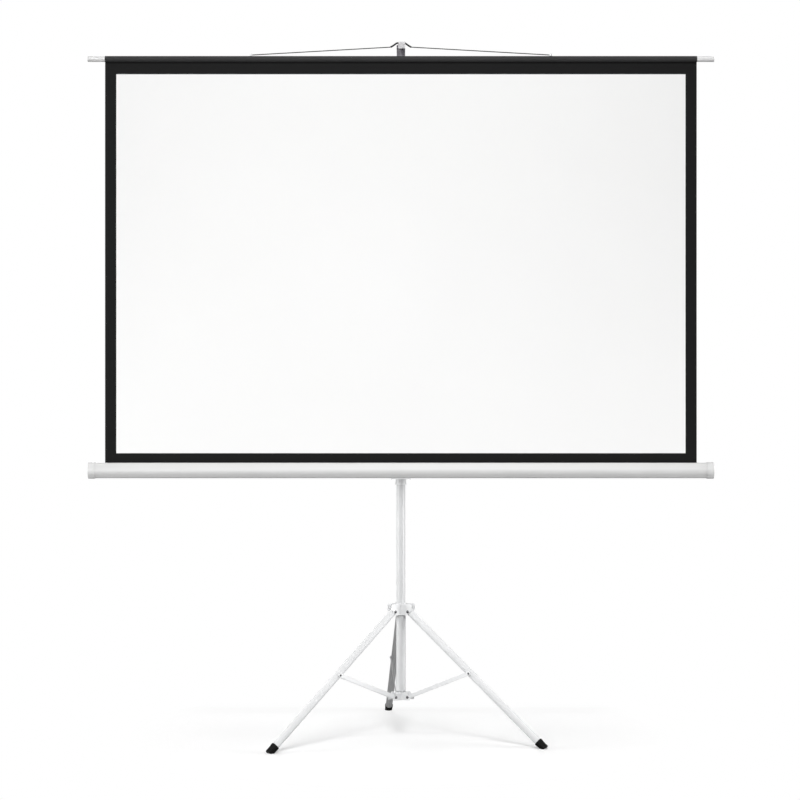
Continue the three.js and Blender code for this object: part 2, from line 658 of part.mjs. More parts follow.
// Cloth, the bar in its hem and the hanger
function buildScreen() {
  const clothTop = barHeight - hemRadius - seatGap;
  place('screen_cloth', block(-clothWidth / 2, clothWidth / 2, clothY - clothThickness / 2,
    clothY + clothThickness / 2, caseAxisHeight, clothTop), whiteCloth());
  const onBarAxis = (geometry) => alongX(geometry).translate(0, clothY, barHeight);
  place('cloth_hem', onBarAxis(pipe(hemRadius, barRadius + seatGap, -clothWidth / 2, clothWidth / 2)),
    blackCloth());
  const barHalf = clothWidth / 2 + barOverhang;
  const tubeHalf = barHalf - barCapThickness;
  place('top_bar', onBarAxis(pipe(barRadius, barRadius - barWall, -tubeHalf, tubeHalf)), greyPaint());
  const capPlug = barRadius - barWall - seatGap;
  const cap = () => turned([[0, tubeHalf - barCapPlug], [capPlug, tubeHalf - barCapPlug],
    [capPlug, tubeHalf + seatGap], [barRadius, tubeHalf + seatGap], [barRadius, barHalf], [0, barHalf]]);
  place('bar_cap_left', onBarAxis(cap().rotateX(Math.PI)), greyPaint());
  place('bar_cap_right', onBarAxis(cap()), greyPaint());

  const eyeBase = barHeight + hemRadius + seatGap;
  [['left', -1], ['right', 1]].forEach(([side, sign]) => {
    const eye = turned([[0, eyeBase], [eyeRadius + eyeEdge, eyeBase], [eyeRadius, eyeBase + eyeEdge],
      [eyeRadius, eyeBase + eyeHeight], [0, eyeBase + eyeHeight + eyeEdge]], smallSides);
    place(`hanger_eye_${side}`, eye.translate(sign * hangerHalfSpan, clothY, 0), brightSteel());
  });

  const sleeveY = hookLipPlate + seatGap + sleeveRadius - hookLipFront;
  const top = barHeight + hangerRise;
  const eyeZ = eyeBase + eyeHeight / 2;
  const bend = new THREE.Vector3(hangerShoulder, sleeveY, top - shoulderDrop);
  const eyeEnd = new THREE.Vector3(hangerHalfSpan - eyeRadius - seatGap - wireRadius / 2, clothY, eyeZ);
  const fromBend = (share) => bend.clone().lerp(eyeEnd, share);
  const half = [new THREE.Vector3(hookArmHalfWidth, sleeveY, top),
    new THREE.Vector3(hookRadius, sleeveY, top - crownDrop),
    bend.clone().lerp(new THREE.Vector3(hookRadius, sleeveY, top), crownShare),
    fromBend(sleeveShare)];
  const mirrored = (points) => points.map(({ x, y, z }) => new THREE.Vector3(-x, y, z)).reverse();
  const wireHalf = [...half, ...wireShares.map(fromBend), eyeEnd];
  const wire = tubeAlong([...mirrored(wireHalf), ...wireHalf], wireRadius, wireSides, routeSteps);
  place('hanger_wire', wire, brightSteel());
  const sleeve = tubeAlong([...mirrored(half), ...half], sleeveRadius, smallSides, routeSteps,
    wireRadius + seatGap);
  place('hanger_sleeve', sleeve, blackPlastic());
}

buildMast();
buildHubs();
legNames.forEach((name, i) => buildLeg(name, rearAzimuth + i * 2 * Math.PI / legNames.length));
buildPole();
buildHook();
buildCarriage();
buildCase();
buildRoller();
buildScreen();

const box = new THREE.Box3().setFromObject(assembly, true);
const middle = box.getCenter(new THREE.Vector3());
assembly.position.set(-middle.x, -middle.y, -box.min.z);

export default screen;
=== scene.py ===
# %% [markdown]
# # A tripod projection screen
# A white cloth with black borders hangs between a hook on a telescopic pole and a spring roller in a
# painted case. A folding tripod carries the lot. The measured solids come first, as a fixed frame: every
# piece made below takes its place and most of its sizes from them, so that nothing has to be fitted by eye.
# All lengths are in metres.

# %% Load the frame
import json
import math

import bmesh
import bpy
from mathutils import Matrix, Vector


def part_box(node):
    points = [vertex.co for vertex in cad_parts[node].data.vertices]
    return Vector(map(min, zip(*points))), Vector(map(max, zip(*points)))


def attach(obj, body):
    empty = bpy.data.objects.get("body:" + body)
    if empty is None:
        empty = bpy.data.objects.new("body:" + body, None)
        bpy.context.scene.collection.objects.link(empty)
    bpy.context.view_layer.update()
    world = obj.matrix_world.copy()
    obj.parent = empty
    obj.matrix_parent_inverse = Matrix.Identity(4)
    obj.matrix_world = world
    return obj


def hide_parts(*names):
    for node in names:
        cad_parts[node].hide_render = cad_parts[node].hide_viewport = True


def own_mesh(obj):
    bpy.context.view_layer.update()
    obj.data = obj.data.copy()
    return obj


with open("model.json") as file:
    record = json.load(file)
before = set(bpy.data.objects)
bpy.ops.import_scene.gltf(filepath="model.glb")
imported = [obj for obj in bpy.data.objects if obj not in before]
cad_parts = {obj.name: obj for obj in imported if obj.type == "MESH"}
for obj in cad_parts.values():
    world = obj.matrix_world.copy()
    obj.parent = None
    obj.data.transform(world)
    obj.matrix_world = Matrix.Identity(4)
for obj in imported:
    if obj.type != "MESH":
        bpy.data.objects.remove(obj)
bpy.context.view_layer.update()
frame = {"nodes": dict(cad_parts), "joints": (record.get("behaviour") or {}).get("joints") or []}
joints = {joint["name"]: joint for joint in frame["joints"]}

# %% [markdown]
# ## Camera
# The photograph was taken with a long lens, level with the middle of the cloth and square to it. A lens is
# set here by its focal length in pixels of the picture, because that is what parallel edges and known sizes
# give. A level camera with no shift keeps uprights upright, which is why it isn't tilted down at the feet.

# %% Set the camera
PICTURE_PIXELS = 800
FOCAL_PIXELS = 1790
SENSOR_WIDTH_MM = 36
CAMERA_HEIGHT = 1.042
CAMERA_TO_CLOTH = 5.503
CAMERA_SIDE = -0.0028

scene = bpy.context.scene
cloth_low, cloth_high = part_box("screen_cloth")
camera_data = bpy.data.cameras.new("camera")
camera_data.sensor_width = SENSOR_WIDTH_MM
camera_data.lens = FOCAL_PIXELS / PICTURE_PIXELS * SENSOR_WIDTH_MM
camera = bpy.data.objects.new("camera", camera_data)
camera.location = (CAMERA_SIDE, cloth_low.y - CAMERA_TO_CLOTH, CAMERA_HEIGHT)
camera.rotation_euler = (math.radians(90), 0, 0)
scene.collection.objects.link(camera)
scene.camera = camera
scene.view_settings.view_transform = "Standard"
print("lens", round(camera_data.lens, 2), "mm")

# %% [markdown]
# ## Node helpers
# Materials are graphs of nodes. A few small helpers keep the graphs short: they feed sockets with values or
# links, do arithmetic, map a range, mix two colours or two shaders, and make a noise.

# %% Node helpers
MIX_INPUTS = (0, 6, 7)
MIX_RESULT = 2


def feed(tree, socket, value):
    if isinstance(value, bpy.types.NodeSocket):
        tree.links.new(value, socket)
    else:
        socket.default_value = value


def feed_all(tree, sockets, **values):
    for name, value in values.items():
        feed(tree, sockets[name.replace("_", " ")], value)


def add_node(tree, kind, settings=(), **inputs):
    made = tree.nodes.new(kind)
    for name, value in dict(settings).items():
        setattr(made, name, value)
    feed_all(tree, made.inputs, **inputs)
    return made


def calc(tree, operation, *values, clamp=False):
    made = add_node(tree, "ShaderNodeMath", {"operation": operation, "use_clamp": clamp})
    for socket, value in zip(made.inputs, values):
        feed(tree, socket, value)
    return made.outputs["Value"]


def plus(tree, first, second, clamp=False):
    return calc(tree, "ADD", first, second, clamp=clamp)


def times(tree, first, second):
    return calc(tree, "MULTIPLY", first, second)


def spread(tree, value, low, high, to_low=0.0, to_high=1.0):
    made = add_node(tree, "ShaderNodeMapRange", Value=value, From_Min=low, From_Max=high, To_Min=to_low,
                    To_Max=to_high)
    return made.outputs["Result"]


def mix_colours(tree, *share_and_colours):
    made = add_node(tree, "ShaderNodeMix", {"data_type": "RGBA"})
    for index, value in zip(MIX_INPUTS, share_and_colours):
        feed(tree, made.inputs[index], value)
    return made.outputs[MIX_RESULT]


def mix_shaders(tree, share, first, second, target):
    made = add_node(tree, "ShaderNodeMixShader", Fac=share)
    tree.links.new(first.outputs[0], made.inputs[1])
    tree.links.new(second.outputs[0], made.inputs[2])
    tree.links.new(made.outputs[0], target.inputs["Surface"])


def tinted(tree, colour, strength):
    made = add_node(tree, "ShaderNodeVectorMath", {"operation": "SCALE"}, Scale=strength)
    feed(tree, made.inputs[0], colour[:3] if isinstance(colour, tuple) else colour)
    return made.outputs["Vector"]


def parts(tree, vector):
    return add_node(tree, "ShaderNodeSeparateXYZ", Vector=vector).outputs


def noise(tree, vector, scale, detail=2.0):
    return add_node(tree, "ShaderNodeTexNoise", Vector=vector, Scale=scale, Detail=detail).outputs["Fac"]


def bumped(tree, height, strength, distance):
    made = add_node(tree, "ShaderNodeBump", Height=height, Strength=strength, Distance=distance)
    return made.outputs["Normal"]


print("node helpers ready")

# %% [markdown]
# ## Background, floor and lamps
# The background is white only to the camera and to reflections. To everything else it is a modest sky, so
# that the light on the object comes from the lamps.

# %% World
SKY_LIGHT = 0.26
WHITE = (1.0, 1.0, 1.0, 1.0)

world = bpy.data.worlds.new("studio")
scene.world = world
world.use_nodes = True
sky = world.node_tree
sky.nodes.clear()
rays = sky.nodes.new("ShaderNodeLightPath").outputs
shown = plus(sky, rays["Is Camera Ray"], rays["Is Glossy Ray"], clamp=True)
shown = plus(sky, shown, rays["Is Transmission Ray"], clamp=True)
sky_light = add_node(sky, "ShaderNodeBackground", Color=WHITE, Strength=SKY_LIGHT)
sky_white = add_node(sky, "ShaderNodeBackground", Color=WHITE, Strength=1.0)
mix_shaders(sky, shown, sky_light, sky_white, sky.nodes.new("ShaderNodeOutputWorld"))
print("sky light", SKY_LIGHT)

# %% [markdown]
# The floor near the feet is a plain diffuse surface, so it keeps their soft shadows. Further out to every
# side, and sooner behind, it fades to the white of the background, so that no horizon shows. To the camera
# it also glows a little, more so towards the rear, and to all other rays it is grey, so that it throws less
# light up.

# %% Floor
FLOOR_REACH = 30.0
FADE_START = 0.52
FADE_END = 0.85
REAR_FADE_START = 0.22
REAR_FADE_END = 0.46
FLOOR_LIFT = (0.02, 0.12)
LIFT_FROM = -0.12
LIFT_TO = 0.35
FLOOR_BOUNCE = (0.42, 0.42, 0.42, 1.0)
PAPER_ROUGHNESS = 0.9


def as_object(shape, name="working_shape"):
    mesh = bpy.data.meshes.new(name)
    shape.to_mesh(mesh)
    shape.free()
    made = bpy.data.objects.new(name, mesh)
    scene.collection.objects.link(made)
    return made


def new_finish(name):
    made = bpy.data.materials.new(name)
    made.use_nodes = True
    tree = made.node_tree
    place = tree.nodes.new("ShaderNodeTexCoord").outputs
    return made, tree, tree.nodes["Principled BSDF"].inputs, place


floor_shape = bmesh.new()
bmesh.ops.create_grid(floor_shape, x_segments=1, y_segments=1, size=FLOOR_REACH)
floor = as_object(floor_shape, "floor")

floor_paper, paper, paper_in, floor_place = new_finish("floor_paper")
seen = paper.nodes.new("ShaderNodeLightPath").outputs["Is Camera Ray"]
floor_depth = parts(paper, floor_place["Object"])["Y"]
floor_lift = spread(paper, floor_depth, LIFT_FROM, LIFT_TO, *FLOOR_LIFT)
feed_all(paper, paper_in, Roughness=PAPER_ROUGHNESS, Specular_IOR_Level=0.0, Emission_Color=WHITE,
         Base_Color=mix_colours(paper, seen, FLOOR_BOUNCE, WHITE),
         Emission_Strength=times(paper, seen, floor_lift))
floor_distance = add_node(paper, "ShaderNodeVectorMath", {"operation": "LENGTH"})
paper.links.new(floor_place["Object"], floor_distance.inputs[0])
side_fade = spread(paper, floor_distance.outputs["Value"], FADE_START, FADE_END)
rear_fade = spread(paper, floor_depth, REAR_FADE_START, REAR_FADE_END)
fade = times(paper, calc(paper, "MAXIMUM", side_fade, rear_fade), seen)
paper_white = add_node(paper, "ShaderNodeEmission", Color=WHITE, Strength=1.0)
mix_shaders(paper, fade, paper.nodes["Principled BSDF"], paper_white, paper.nodes["Material Output"])
floor.data.materials.append(floor_paper)
print("floor fades to white between", FADE_START, "and", FADE_END, "m")

# %% [markdown]
# A large softbox high in front gives most of the light. A weaker one beside the camera fills the front, and
# two narrow ones from the sides fill the stand under the cloth. A small one, nearer and steeper, draws the
# soft shadows of the legs, and one behind lights the back.

# %% Lamps
LAMPS = {
    # name: (place, aim, width, height, beam in degrees, power)
    "front_softbox": ((0.55, -6.4, 5.8), (0.0, 0.0, 0.9), 2.5, 2.5, 180, 130),
    "front_fill": ((-1.4, -5.2, 2.2), (-0.1, 0.0, 1.4), 2.2, 2.2, 80, 25.5),
    "left_fill": ((-3.4, -0.7, 0.8), (0.0, 0.0, 0.4), 1.2, 1.2, 60, 9.8),
    "right_fill": ((3.4, -0.7, 0.8), (0.0, 0.0, 0.4), 1.2, 1.2, 60, 10.2),
    "top_softbox": ((0.15, -2.8, 4.6), (0.0, -0.1, 0.3), 0.9, 0.9, 180, 52),
    "rear_softbox": ((-1.2, 4.6, 2.6), (0.0, 0.0, 1.0), 2.0, 2.0, 180, 45),
}

for lamp_name, (place, aim, width, height, beam, power) in LAMPS.items():
    lamp_data = bpy.data.lights.new(lamp_name, "AREA")
    lamp_data.shape = "RECTANGLE"
    lamp_data.size = width
    lamp_data.size_y = height
    lamp_data.spread = math.radians(beam)
    lamp_data.energy = power
    lamp = bpy.data.objects.new(lamp_name, lamp_data)
    lamp.location = place
    lamp.rotation_euler = (Vector(aim) - Vector(place)).to_track_quat("-Z", "Y").to_euler()
    scene.collection.objects.link(lamp)
print("lamps:", ", ".join(LAMPS))

# %% [markdown]
# ## Shared surface effects
# The same few effects turn up on many finishes. Each one is a node group, built once and used in several
# materials with its own values: a sprayed paint film, wear on edges, dust on what faces up, and a weave.

# %% Group maker
FLOAT, COLOUR, VECTOR = "NodeSocketFloat", "NodeSocketColor", "NodeSocketVector"


def new_group(name, inputs, outputs):
    tree = bpy.data.node_groups.new(name, "ShaderNodeTree")
    for socket, kind, value in [("Vector", VECTOR, (0, 0, 0))] + inputs:
        tree.interface.new_socket(socket, in_out="INPUT", socket_type=kind).default_value = value
    for socket, kind in outputs:
        tree.interface.new_socket(socket, in_out="OUTPUT", socket_type=kind)
    print("group:", name)
    return tree, tree.nodes.new("NodeGroupInput").outputs, tree.nodes.new("NodeGroupOutput").inputs


def use_group(tree, group, **inputs):
    return add_node(tree, "ShaderNodeGroup", {"node_tree": group}, **inputs).outputs


# %% [markdown]
# Sprayed paint is never one colour: it has a fine orange-peel skin, tiny specks, and broad, faint clouds
# where the coat is thicker. Two noises of very different scale give the specks and the clouds, and a third
# gives the skin's bumps.

# %% Paint film group
CLOUD_SCALE = 7.0
SPECK_SCALE = 900.0
SKIN_SCALE = 420.0

paint_film, film_in, film_out = new_group(
    "paint_film", [("Paint", COLOUR, WHITE), ("Roughness", FLOAT, 0.4), ("Specks", FLOAT, 0.05)],
    [("Colour", COLOUR), ("Roughness", FLOAT), ("Skin", FLOAT)])
clouds = noise(paint_film, film_in["Vector"], CLOUD_SCALE, 3.0)
specks = calc(paint_film, "SUBTRACT", noise(paint_film, film_in["Vector"], SPECK_SCALE), 0.5)
cloud_shade = spread(paint_film, clouds, 0.25, 0.75, 0.96, 1.02)
film_shade = plus(paint_film, cloud_shade, times(paint_film, specks, film_in["Specks"]))
gloss_change = spread(paint_film, clouds, 0.3, 0.7, -0.05, 0.07)
feed_all(paint_film, film_out, Colour=tinted(paint_film, film_in["Paint"], film_shade),
         Roughness=plus(paint_film, film_in["Roughness"], gloss_change),
         Skin=noise(paint_film, film_in["Vector"], SKIN_SCALE))

# %% [markdown]
# Corners rub bare first. A Bevel node gives the normal that a rounded edge would have, and where that
# differs from the true normal there is an edge. A noise breaks the mask up, so that the wear comes in
# patches.

# %% Edge wear group
BEVEL_SAMPLES = 4
PATCH_SCALE = 160.0

edge_wear, wear_in, wear_out = new_group(
    "edge_wear", [("Width", FLOAT, 0.001), ("Amount", FLOAT, 0.5)], [("Mask", FLOAT)])
rounded = add_node(edge_wear, "ShaderNodeBevel", {"samples": BEVEL_SAMPLES}, Radius=wear_in["Width"])
agreement = add_node(edge_wear, "ShaderNodeVectorMath", {"operation": "DOT_PRODUCT"})
edge_wear.links.new(rounded.outputs["Normal"], agreement.inputs[0])
edge_wear.links.new(edge_wear.nodes.new("ShaderNodeNewGeometry").outputs["Normal"], agreement.inputs[1])
edges = spread(edge_wear, agreement.outputs["Value"], 0.99, 0.86)
patches = spread(edge_wear, noise(edge_wear, wear_in["Vector"], PATCH_SCALE, 4.0), 0.42, 0.62)
feed_all(edge_wear, wear_out, Mask=times(edge_wear, times(edge_wear, edges, patches), wear_in["Amount"]))

# %% [markdown]
# Dust settles on what faces up. The upward part of the normal gives where, and a soft noise gives how much.

# %% Dust group
DRIFT_SCALE = 35.0

dust, dust_in, dust_out = new_group("dust", [("Amount", FLOAT, 0.2)], [("Mask", FLOAT)])
dust_normal = parts(dust, dust.nodes.new("ShaderNodeNewGeometry").outputs["Normal"])
faces_up = spread(dust, dust_normal["Z"], 0.35, 0.95)
drift = spread(dust, noise(dust, dust_in["Vector"], DRIFT_SCALE, 4.0), 0.35, 0.75)
feed_all(dust, dust_out, Mask=times(dust, times(dust, faces_up, drift), dust_in["Amount"]))

# %% [markdown]
# Woven cloth is two sets of threads that pass over and under each other. Two sine waves at right angles,
# one for each set, are multiplied, which gives the chequer of high and low crossings.

# %% Weave group
weave, weave_in, weave_out = new_group(
    "weave", [("Threads", FLOAT, 900.0)], [("Height", FLOAT), ("Shade", FLOAT)])
thread_place = parts(weave, weave_in["Vector"])


def thread(place):
    return calc(weave, "SINE", times(weave, times(weave, place, weave_in["Threads"]), 2 * math.pi))


crossing = times(weave, thread(thread_place["X"]), thread(thread_place["Y"]))
feed_all(weave, weave_out, Height=spread(weave, crossing, -1.0, 1.0),
         Shade=spread(weave, crossing, -1.0, 1.0, 0.9, 1.05))

# %% [markdown]
# ## Finishes
# Each finish is one short function that returns a material. Values that are the same all over a surface are
# set on the shader itself, and only what changes from place to place goes through nodes. The legs' paint is
# paler than the mast's as painted light, since the legs look lighter in this light; it is also duller.

# %% Painted steel
BARE_STEEL = (0.42, 0.42, 0.43, 1.0)
DUST_COLOUR = (0.62, 0.60, 0.57, 1.0)
SPECKS = 0.05
WEAR_WIDTH = 0.0006
WEAR_AMOUNT = 0.35
WORN_METAL = 0.8
DUST_ROUGHNESS = 0.4
COAT_ROUGHNESS = 0.15
PAINTS = {
    # name: (colour, roughness, dust, clear coat)
    "stand_paint": ((0.585, 0.59, 0.595, 1.0), 0.45, 0.05, 0.25),
    # paler than stand_paint: painted light on the legs, not a different paint
    "leg_paint": ((0.68, 0.685, 0.69, 1.0), 0.60, 0.05, 0.0),
    "case_paint": ((0.60, 0.60, 0.598, 1.0), 0.42, 0.08, 0.08),
    "hub_paint": ((0.78, 0.785, 0.79, 1.0), 0.42, 0.08, 0.08),
    "bar_paint": ((0.72, 0.72, 0.718, 1.0), 0.40, 0.08, 0.08),
    "hook_paint": ((0.50, 0.495, 0.505, 1.0), 0.45, 0.10, 0.08),
    # painted shade for the hook's recess behind the lip, not a real finish
    "hook_zinc": ((0.17, 0.16, 0.18, 1.0), 0.5, 0.10, 0.08),
}


def painted_steel(name, colour, roughness, dust_amount, coat):
    made, tree, shader, place = new_finish(name)
    spot = place["Object"]
    film = use_group(tree, paint_film, Vector=spot, Paint=colour, Roughness=roughness, Specks=SPECKS)
    wear = use_group(tree, edge_wear, Vector=spot, Width=WEAR_WIDTH, Amount=WEAR_AMOUNT)["Mask"]
    dusty = use_group(tree, dust, Vector=spot, Amount=dust_amount)["Mask"]
    rubbed = mix_colours(tree, wear, film["Colour"], BARE_STEEL)
    feed_all(tree, shader, Base_Color=mix_colours(tree, dusty, rubbed, DUST_COLOUR),
             Roughness=plus(tree, film["Roughness"], times(tree, dusty, DUST_ROUGHNESS)),
             Metallic=times(tree, wear, WORN_METAL), Normal=bumped(tree, film["Skin"], 0.05, 0.0002),
             Coat_Weight=coat, Coat_Roughness=COAT_ROUGHNESS)
    return made


stand_paint, leg_paint, case_paint, hub_paint, bar_paint, hook_paint, hook_zinc = (
    painted_steel(name, *values) for name, values in PAINTS.items())
print("painted finishes:", ", ".join(PAINTS))

# %% [markdown]
# Bright steel shows fine lines along the direction in which it was drawn or turned. A noise that is
# stretched a hundredfold along the piece gives those lines in the roughness and, very faintly, in the
# colour.

# %% Drawn steel
STEEL = (0.55, 0.555, 0.565, 1.0)
# painted shade: rivets get a far darker steel than bright steel, for the dark spots at the rivet heads
RIVET_STEEL_PAINTED_SHADE = (0.13, 0.13, 0.135, 1.0)
SCALE_ACROSS = 1400.0
SCALE_ALONG = 9.0
STAIN_SCALE = 60.0


def drawn_steel(name, colour, along):
    made, tree, shader, place = new_finish(name)
    scale = [SCALE_ALONG if axis == along else SCALE_ACROSS for axis in "xyz"]
    stretched = add_node(tree, "ShaderNodeMapping", Vector=place["Object"], Scale=scale).outputs["Vector"]
    lines = noise(tree, stretched, 1.0, 3.0)
    stains = spread(tree, noise(tree, place["Object"], STAIN_SCALE, 4.0), 0.3, 0.7, -0.05, 0.03)
    shade = plus(tree, spread(tree, lines, 0.2, 0.8, 0.9, 1.06), stains)
    feed_all(tree, shader, Base_Color=tinted(tree, colour, shade), Metallic=1.0,
             Roughness=spread(tree, lines, 0.25, 0.75, 0.2, 0.42), Normal=bumped(tree, lines, 0.06, 0.0001))
    return made


steel_upright = drawn_steel("steel_upright", STEEL, "z")
steel_across = drawn_steel("steel_across", STEEL, "x")
rivet_steel = drawn_steel("rivet_steel", RIVET_STEEL_PAINTED_SHADE, "y")
print("steel finishes:", steel_upright.name, steel_across.name, rivet_steel.name)

# %% [markdown]
# Black rubber is dull and picks up scuffs. Moulded plastic has an even spark-eroded grain from its mould,
# and shines a little more. Both are the same graph with other values.

# %% Rubber and plastic
SCUFF_SCALE = 85.0
SCUFF_SHARE = 0.35
RUB_WIDTH = 0.0012
RUB_AMOUNT = 0.6
GRAIN_ROUGHNESS = 0.07
MOULDED = {
    # name: (colour, scuff colour, roughness, grain per metre, grain strength, shine)
    "foot_rubber": ((0.004, 0.004, 0.004, 1), (0.012, 0.012, 0.0115, 1), 0.45, 700.0, 0.3, 0.08),
    "black_plastic": ((0.010, 0.010, 0.011, 1), (0.04, 0.04, 0.04, 1), 0.5, 1600.0, 0.25, 0.3),
    "wire_coating": ((0.009, 0.009, 0.010, 1), (0.03, 0.03, 0.03, 1), 0.5, 2500.0, 0.2, 0.12),
}


def moulded(name, colour, scuff_colour, roughness, grain_scale, grain_strength, shine):
    made, tree, shader, place = new_finish(name)
    spot = place["Object"]
    grain = noise(tree, spot, grain_scale, 3.0)
    scuffs = times(tree, spread(tree, noise(tree, spot, SCUFF_SCALE, 5.0), 0.52, 0.78), SCUFF_SHARE)
    wear = use_group(tree, edge_wear, Vector=spot, Width=RUB_WIDTH, Amount=RUB_AMOUNT)["Mask"]
    scuffed = calc(tree, "MAXIMUM", scuffs, wear)
    rough_range = (roughness - GRAIN_ROUGHNESS, roughness + GRAIN_ROUGHNESS)
    feed_all(tree, shader, Base_Color=mix_colours(tree, scuffed, colour, scuff_colour),
             Roughness=spread(tree, grain, 0.2, 0.8, *rough_range),
             Normal=bumped(tree, grain, grain_strength, 0.0003), Specular_IOR_Level=shine)
    return made


foot_rubber, black_plastic, wire_coating = (moulded(name, *values) for name, values in MOULDED.items())
print("moulded finishes:", ", ".join(MOULDED))

# %% [markdown]
# ## The cloth's finishes
# The screen is a coated fabric: a matt white image with black borders printed round it, and a black back
# that keeps light from coming through. The borders are drawn on the cloth's own UV map, in metres from its
# lower left corner, so they stay on the cloth when it is wound in. The coating shows as a faint grain
# rather than as threads.

# %% Black cloth
CLOTH_BLACK = (0.0062, 0.0062, 0.0064, 1.0)
# painted light: the hem is the same black cloth, made lighter for the roll's top that catches the light
HEM_BLACK_PAINTED_LIGHT = (0.024, 0.024, 0.0245, 1.0)
THREADS_PER_METRE = 700.0
FLUFF_SCALE = 45.0


def black_weave(name, colour, coordinates):
    made, tree, shader, place = new_finish(name)
    threads = use_group(tree, weave, Vector=place[coordinates], Threads=THREADS_PER_METRE)
    fluff = noise(tree, place[coordinates], FLUFF_SCALE, 4.0)
    shade = times(tree, threads["Shade"], spread(tree, fluff, 0.3, 0.7, 0.85, 1.2))
    feed_all(tree, shader, Base_Color=tinted(tree, colour, shade), Specular_IOR_Level=0.35,
             Roughness=spread(tree, fluff, 0.3, 0.7, 0.72, 0.86),
             Normal=bumped(tree, threads["Height"], 0.3, 0.0002))
    return made


hem_cloth = black_weave("hem_cloth", HEM_BLACK_PAINTED_LIGHT, "Object")
backing_cloth = black_weave("backing_cloth", CLOTH_BLACK, "UV")
print("black cloths:", hem_cloth.name, backing_cloth.name)

# %% White image with printed borders
IMAGE_WIDTH = 1.75
IMAGE_HEIGHT = 1.165
IMAGE_BOTTOM = 0.0525
IMAGE_WHITE = (0.83, 0.83, 0.827, 1.0)
PRINT_EDGE = 0.0007
COATING_SCALE = 1300.0
CLOUDING_SCALE = 1.3
SEWN_IN = 0.0006
# painted shade: a band of the black border just under the hem is darker, for the crease in shade there
CREASE_SHADE_START = 0.003
CREASE_SHADE_END = 0.0065

cloth_width = cloth_high.x - cloth_low.x
cloth_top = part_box("cloth_hem")[0].z + SEWN_IN
cloth_height = cloth_top - cloth_low.z


def within(tree, place, low, length):
    high = low + length
    after = spread(tree, place, low - PRINT_EDGE / 2, low + PRINT_EDGE / 2)
    before = spread(tree, place, high + PRINT_EDGE / 2, high - PRINT_EDGE / 2)
    return times(tree, after, before)


def screen_front(name):
    made, tree, shader, place = new_finish(name)
    corner = parts(tree, place["UV"])
    image = times(tree, within(tree, corner["X"], (cloth_width - IMAGE_WIDTH) / 2, IMAGE_WIDTH),
                  within(tree, corner["Y"], IMAGE_BOTTOM, IMAGE_HEIGHT))
    grain = noise(tree, place["UV"], COATING_SCALE)
    clouding = spread(tree, noise(tree, place["UV"], CLOUDING_SCALE), 0.3, 0.7, -0.008, 0.008)
    white = tinted(tree, IMAGE_WHITE, plus(tree, spread(tree, grain, 0.2, 0.8, 0.985, 1.01), clouding))
    # painted shade: the black darkens towards the hem, where the crease under the roll lies in shade
    crease_painted_shade = spread(tree, corner["Y"], cloth_height - CREASE_SHADE_END, cloth_height - CREASE_SHADE_START, 1.0, 0.15)
    black = tinted(tree, CLOTH_BLACK, times(tree, crease_painted_shade, spread(tree, grain, 0.2, 0.8, 0.8, 1.25)))
    feed_all(tree, shader, Base_Color=mix_colours(tree, image, black, white), Specular_IOR_Level=0.08,
             Roughness=spread(tree, image, 0.0, 1.0, 0.62, 0.9), Normal=bumped(tree, grain, 0.10, 0.0002))
    return made


screen_white = screen_front("screen_white")
print("image", IMAGE_WIDTH, "x", IMAGE_HEIGHT, "on a cloth", round(cloth_width, 3), "m wide")

# %% [markdown]
# ## Shape helpers
# Most pieces are turned, folded or cut from plate. Turned pieces are a profile that is spun round, plates
# are a flat face that is extruded, and folded sheet is a row of edges that are pulled out and given a
# thickness. Most pieces then have their sharp edges eased by a small bevel, because a real edge catches a
# line of light.

# %% Shape helpers
ROUND = 64
SMALL_ROUND = 32
SPIN_MERGE = 1e-6
EASE_ANGLE = math.radians(40)
CLEARANCE = 0.0003
SLIDING_GAP = 0.0004
RIM_EASE = 0.0003
EDGE_EASE = 0.0004
FOLD_EASE = 0.0005
TO_REAR = Matrix.Rotation(-math.pi / 2, 4, "X")


def face_outwards(shape):
    bmesh.ops.recalc_face_normals(shape, faces=shape.faces)


def thicken(shape, thickness):
    bmesh.ops.solidify(shape, geom=shape.faces[:], thickness=thickness)


def turned(profile, steps=ROUND):
    shape = bmesh.new()
    points = [shape.verts.new((radius, 0, height)) for radius, height in profile]
    lines = [shape.edges.new(pair) for pair in zip(points, points[1:])]
    if profile[0][0] > 0 and profile[-1][0] > 0:
        lines.append(shape.edges.new((points[-1], points[0])))
    bmesh.ops.spin(shape, geom=points + lines, cent=(0, 0, 0), axis=(0, 0, 1), angle=2 * math.pi, steps=steps,
                   use_merge=True)
    bmesh.ops.remove_doubles(shape, verts=shape.verts, dist=SPIN_MERGE)
    face_outwards(shape)
    return shape


def tube(outer, inner, low, high, steps=ROUND):
    return turned([(inner, low), (outer, low), (outer, high), (inner, high)], steps)


def disc(radius, low, high, steps=ROUND):
    return turned([(0, low), (radius, low), (radius, high), (0, high)], steps)


def groove(radius, start, depth, floor_start, floor_end, end):
    return [(radius, start), (radius - depth, start + floor_start), (radius - depth, start + floor_end),
            (radius, start + end)]


def slab(low, high):
    shape = bmesh.new()
    bmesh.ops.create_cube(shape, size=1)
    low, high = Vector(low), Vector(high)
    bmesh.ops.scale(shape, vec=high - low, verts=shape.verts)
    bmesh.ops.translate(shape, vec=(low + high) / 2, verts=shape.verts)
    return shape


def new_verts(grown):
    return [item for item in grown["geom"] if isinstance(item, bmesh.types.BMVert)]


def pull_edges(shape, edges, offset):
    verts = new_verts(bmesh.ops.extrude_edge_only(shape, edges=edges))
    bmesh.ops.translate(shape, vec=offset, verts=verts)


def extruded(shape, offset):
    verts = new_verts(bmesh.ops.extrude_face_region(shape, geom=shape.faces[:]))
    bmesh.ops.translate(shape, vec=offset, verts=verts)
    face_outwards(shape)
    return shape


